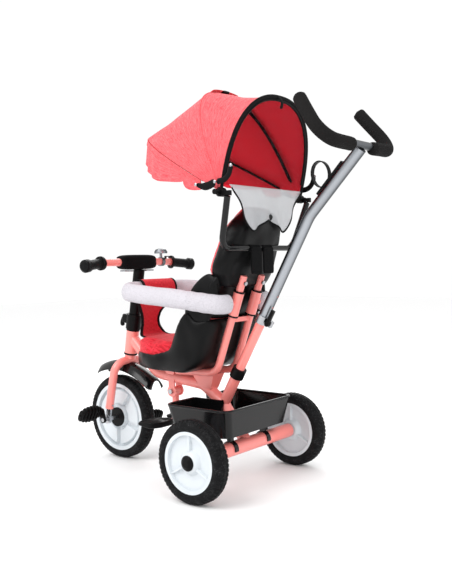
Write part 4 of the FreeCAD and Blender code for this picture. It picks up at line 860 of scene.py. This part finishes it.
# Each bow's lean in degrees, its reach, how square its arch is and how far its sides belly.
BOWS = {"front": (29.0, 388.0, 0.74, 0.0), "mid": (66.0, 303.0, 0.76, 0.0),
        "rear": (104.0, 245.0, 0.80, 8.0)}
PIVOT = (70.0, 750.0)
CANOPY_HUB = at(0, *PIVOT)


def bow_line(name, shares, inset=0.0):
    """Points of a bow in metres; share 0 is the left pivot and share 1 the right one."""
    angle, reach, fullness, belly = BOWS[name]
    turn = math.pi * shares
    across = np.sign(np.cos(turn)) * np.abs(np.cos(turn)) ** fullness
    wide = (168.0 - inset + belly * np.abs(np.sin(2 * turn))) * across
    rise = (reach - inset) * np.sin(turn) ** (fullness + 0.03)
    lean = math.radians(angle)
    points = np.stack([wide, PIVOT[0] - rise * math.cos(lean), PIVOT[1] + rise * math.sin(lean)],
                      axis=1) / 1000
    points[:, 1] += AXLE_BACK
    return points


def cloth_between(first, second, sag, rows=44, columns=160):
    """A ruled cloth between two bows, drawn in a little halfway, with soft pull folds."""
    shares = np.linspace(0.006, 0.994, columns)
    low, high = bow_line(first, shares), bow_line(second, shares)
    down = np.linspace(0.0, 1.0, rows)[:, None]
    grid = low[None] * (1 - down[:, :, None]) + high[None] * down[:, :, None]
    outward = grid - np.array(CANOPY_HUB)
    outward[:, :, 0] *= 0.6
    outward /= np.linalg.norm(outward, axis=2)[:, :, None] + 1e-9
    across = shares[None, :]
    body = np.sin(math.pi * down)
    near_side = np.minimum(across, 1 - across)
    fold = (0.0011 * np.sin(across * 47 + 3 * np.sin(down * 5))
            * np.exp(-((across - 0.5) / 0.33) ** 2)
            + 0.0020 * np.sin(across * 88 + down * 4) * np.exp(-((near_side - 0.07) / 0.05) ** 2))
    lift = -sag * body * np.sin(math.pi * across) ** 0.6 + fold * body
    return grid + outward * lift[:, :, None]


def line_length(points):
    """The length of a line of points in metres."""
    return float(np.linalg.norm(np.diff(points, axis=0), axis=1).sum())


def gore(first, second):
    """The cut of a cloth between two bows, pointed at both ends: its flat size and area.
    It is as wide as the bows' mean length and as deep as their tops are apart."""
    whole = np.linspace(0, 1, 400)
    wide = (line_length(bow_line(first, whole)) + line_length(bow_line(second, whole))) / 2
    middle = np.array([0.5])
    deep = line_length(np.concatenate([bow_line(first, middle), bow_line(second, middle)]))
    return (round(wide, 3), round(deep, 3)), round(2 / math.pi * wide * deep, 4)


def cloth_panel(name, grid):
    panel = surface(name, grid, coral, sharp=70)
    return thicken(panel, 0.0022, 0.0, lining)


top_front, top_mid, top_rear = (bow_line(name, np.array([0.5]))[0]
                                for name in ("front", "mid", "rear"))
front_cloth = cloth_panel("canopy_front_cloth", cloth_between("mid", "front", 0.004))
rear_cloth = cloth_panel("canopy_rear_cloth", cloth_between("rear", "mid", 0.007))
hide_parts("canopy_front_panel")
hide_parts("canopy_rear_panel")

LOBES = np.array([0.030, 0.085, 0.36, 0.64, 0.915, 0.970])
shares = np.linspace(0.035, 0.965, 320)
lobe = np.clip(np.searchsorted(LOBES, shares, side="right") - 1, 0, len(LOBES) - 2)
within = (shares - LOBES[lobe]) / (LOBES[lobe + 1] - LOBES[lobe])
from_side = np.minimum(shares, 1 - shares)
deep = np.interp(from_side, [0.03, 0.09, 0.20, 0.5], [0.024, 0.048, 0.074, 0.074])
drop = deep * (0.52 + 0.48 * np.sin(math.pi * within) ** 0.45)
hem_top = bow_line("front", shares) - np.array([0, 0, 0.001])
levels = np.linspace(0, 1, 22)[:, None]
valance = np.repeat(hem_top[None], 22, axis=0)
flare = np.stack([np.zeros_like(shares), -np.ones_like(shares) * 0.10, -np.ones_like(shares)],
                 axis=1)
valance = valance + levels[:, :, None] * drop[None, :, None] * flare[None]
ripple = 0.0022 * np.sin(shares * 120) * levels
outward = np.stack([np.cos(math.pi * shares), -np.sin(math.pi * shares), 0 * shares], axis=1)
valance = valance + (ripple[:, :, None] + 0.0018) * outward[None]
valance_cloth = cloth_panel("canopy_valance", valance)


def piping(name, path, radius):
    return swept(name, path, (radius, radius), coral, (0.31, 0.2, 0.93), 12)


hem = piping("canopy_hem_piping", valance[-1], 0.0016)
seam_line = valance[4] + outward * 0.0014
front_seam = piping("canopy_front_seam", seam_line, 0.0013)
mid_seam = piping("canopy_mid_seam", bow_line("mid", np.linspace(0.04, 0.96, 200), -1.2),
                  0.0016)
rear_binding_line = bow_line("rear", np.linspace(0.006, 0.994, 220), -1.0)
rear_binding = swept("canopy_rear_binding", rear_binding_line, (0.0052, 0.0030), binding,
                     (0, 0.97, -0.24), 16)
for bow, body in (("mid", "canopy_mid"), ("front", "canopy_front")):
    inner_line = bow_line(bow, np.linspace(0.04, 0.96, 160), 10.5)
    pocket = swept("canopy_%s_pocket" % bow, inner_line, (0.0066, 0.0022), binding,
                   (0, 0.9, 0.3), 14)
    fit(pocket, body)
strap_line = bow_line("mid", np.linspace(0.43, 0.57, 40), -2.6)
top_strap = swept("canopy_top_strap", strap_line, (0.0110, 0.0011), coral, (0, 0.4, -0.9), 14,
                  0.004)
buckle = pillow("canopy_buckle", strap_line[20] + np.array([0, 0, 0.002]),
                (0.013, 0.013, 0.0035), black, 5)
pull_line = np.stack([np.full(24, 0.012),
                      top_rear[1] + 0.004 + 0.010 * np.sin(np.linspace(0, 2.6, 24)),
                      top_rear[2] - np.linspace(-0.002, 0.030, 24)], axis=1)
pull = swept("canopy_pull_strap", pull_line, (0.0060, 0.0011), binding, (0, 1, 0), 14, 0.003)
for piece, body, slot_name in ((top_strap, "canopy_mid", "coral_fabric"),
                               (mid_seam, "canopy_mid", "coral_fabric"),
                               (buckle, "canopy_mid", "black_plastic"),
                               (valance_cloth, "canopy_front", "coral_fabric"),
                               (hem, "canopy_front", "coral_fabric"),
                               (front_seam, "canopy_front", "coral_fabric"),
                               (pull, "frame", "black_fabric"),
                               (rear_binding, "frame", "black_fabric")):
    fit(piece, body)
for cloth, first, second, low_top, high_top in (
        (front_cloth, "canopy_mid", "canopy_front", top_mid, top_front),
        (rear_cloth, "frame", "canopy_mid", top_rear, top_mid)):
    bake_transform(cloth)
front_cut, front_area = gore("mid", "front")
rear_cut, rear_area = gore("rear", "mid")

# ---------------------------------------------------------------- net window and skirt
# A sheer black net closes the rear arch, and a pale net skirt hangs loose below it.
# Both are sewn to the rear binding and ride with the frame.


def netting(name, color, count, limit, clear, solid):
    """A sheer net: clear in its openings, more solid where its threads run."""
    look = Look(name, color, 0.8, Specular_IOR_Level=0.1)
    thread = look.node("ShaderNodeMath", {"operation": "MAXIMUM"},
                       {0: look.threads("X", count), 1: look.threads("Y", count)})
    look.feed("Alpha", clear + thread.above(limit) * solid)
    return look


net = netting("black_net", (0.012, 0.010, 0.012), 3600.0, 0.60, 0.08, 0.30)
skirt_look = netting("grey_net", (0.58, 0.59, 0.61), 3000.0, 0.3, 0.40, 0.38)
window_shares = np.linspace(0.05, 0.95, 120)
rim = bow_line("rear", window_shares, 4.0)
base = np.stack([rim[:, 0], np.full(120, CANOPY_HUB[1] + 0.006), np.full(120, 0.768)], axis=1)
rise = np.linspace(0, 1, 40)[:, None, None]
window_grid = base[None] * (1 - rise) + rim[None] * rise
bulge = np.sin(math.pi * rise[:, :, 0]) * np.sin(math.pi * window_shares)[None, :]
window_grid[:, :, 1] -= 0.006 * bulge
window = thicken(surface("canopy_net_window", window_grid, net, sharp=80), 0.0006)
fit(window, "frame", "canopy_net")
SKIRT_HALF, SKIRT_TOP = 0.152, 0.769
across = np.linspace(-1, 1, 90)
low_edge = np.interp(across, [-1, -0.50, 0, 0.50, 1], [0.762, 0.655, 0.690, 0.655, 0.762])
evened(low_edge, 5)
down = np.linspace(0, 1, 26)[:, None]
skirt_x = across[None, :] * SKIRT_HALF * (1 - 0.06 * down)
skirt_z = SKIRT_TOP + (low_edge[None, :] - SKIRT_TOP) * down
skirt_y = CANOPY_HUB[1] + 0.012 + 0.004 * np.sin(across[None, :] * 17) * down + 0.004 * down
skirt_grid = np.stack([skirt_x, skirt_y, skirt_z], axis=2)
skirt = thicken(surface("canopy_net_skirt", skirt_grid, skirt_look, sharp=80), 0.0008)
fit(skirt, "frame")
skirt_edge = swept("canopy_skirt_binding", skirt_grid[-1], (0.0026, 0.0014), binding, (0, 1, 0), 12)
fit(skirt_edge, "frame")

# ---------------------------------------------------------------- canopy tube and tabs
# The black U-shaped tube that carries the canopy, in gloss paint.
# Two black webbing tabs sewn to the backrest close over its lower bar with hook-and-loop tape.

u_low, u_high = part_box("canopy_u_frame")
bar_back = u_low.y + 0.0065
arm_back = u_high.y - 0.0060
u_path = rounded_path([Vector((0.172, arm_back, 0.742)), Vector((0.152, bar_back, 0.618)),
                       Vector((-0.152, bar_back, 0.618)), Vector((-0.172, arm_back, 0.742))],
                      [0.034, 0.034], 0.003)
u_tube = swept("canopy_u_tube", u_path, (0.0078, 0.0078), gloss, (0, 1, 0.2), 28, 0.002)
fit(u_tube, "frame", "canopy_u_frame")
web = Look("black_webbing", (0.004, 0.004, 0.0045), 0.8, Specular_IOR_Level=0.1)
web.bump(web.threads("Z", 3000.0, "Object") + web.threads("X", 1500.0, "Object"), 0.0005, 0.6)
for side_name, side in SIDES:
    middle = Vector((side * 0.026, bar_back + 0.0105, 0.586))
    tab = pillow(side_name + "_backrest_tab", middle, (0.0215, 0.0024, 0.034), web, 9)
    loop = turned(side_name + "_tab_loop",
                  [(-0.0205, 0.0080), (-0.0205, 0.0100), (0.0205, 0.0100), (0.0205, 0.0080)],
                  Vector((side * 0.026, bar_back, 0.618)), (1, 0, 0), web, 40)
    fit(tab, "frame", "backrest_tabs" if side > 0 else None)
    fit(loop, "frame")

# ---------------------------------------------------------------- canopy stays
# Two folding elbow stays, one each side, in black plastic with curved upper arms.
# Three bright rivets a side join them to each other, the clamp and the front bow.

STAY_TOP, STAY_ELBOW, STAY_FRONT = (111, 809), (65, 774), (5, 772)
UPPER_OUT, LOWER_OUT = 179, 183.3
RIVET = [(-0.004, 0.0001), (-0.004, 0.0024), (0.0006, 0.0024), (0.0006, 0.0042),
         (0.0016, 0.0040), (0.0026, 0.0022), (0.0029, 0.0001)]


def tapered(length, turn):
    """Narrows a lower arm from its elbow to its front rivet."""
    return 1 - 0.42 * smooth_step(length, 0.028, 0.056) + 0 * turn


for side_name, side in SIDES:
    for arm, out, ends, bend, radius, step, section, tip, push in (
            ("upper", UPPER_OUT, (STAY_TOP, STAY_ELBOW), (101, 778), 0.030, 0.003,
             (0.0072, 0.0021), 0.006, None),
            ("lower", LOWER_OUT, (STAY_ELBOW, STAY_FRONT), (36, 763), 0.050, 0.002,
             (0.0098, 0.0020), 0.008, tapered)):
        line = rounded_path([at(side * out, *place) for place in (ends[0], bend, ends[1])],
                            [radius], step)
        stay = swept("%s_%s_arm" % (side_name, arm), line, section, black, (1, 0, 0), 24, tip, push)
        node = arm + "_stays"
        fit(stay, node, node if side > 0 else None)
    for number, (place, out, body) in enumerate(((STAY_TOP, 180.5, "upper_stays"),
                                                 (STAY_ELBOW, 185.0, "upper_stays"),
                                                 (STAY_FRONT, 185.0, "lower_stays"))):
        head = turned("%s_stay_rivet_%d" % (side_name, number), RIVET, at(side * out, *place),
                      (side, 0, 0), steel, 28)
        fit(head, body)

# ---------------------------------------------------------------- basket rim
# The rolled rim of the moulded basket, broken at the front by the notch for the main tube.
# It is one with the basket.

rim = rounded_path([at(26, -158, 214), at(143, -158, 214), at(143, 48, 214), at(-143, 48, 214),
                    at(-143, -158, 214), at(-26, -158, 214)], [0.024] * 4, 0.004)
rim_bead = swept("basket_rim_bead", rim, (0.0040, 0.0034), gloss, (0, 0, 1), 18, 0.003)
fit(rim_bead, "frame")

# ---------------------------------------------------------------- collar lever
# The hooked finger lever of the stem's collar, in black plastic at its front.
# It is one with the collar.

hook = rounded_path([at(4, -436, 424), at(4, -452, 430), at(4, -462, 412), at(4, -461, 400)],
                    [0.010, 0.012], 0.002)
collar_hook = swept("collar_hook", hook, (0.0080, 0.0050), black, (1, 0, 0), 24, 0.006)
fit(collar_hook, "steering")
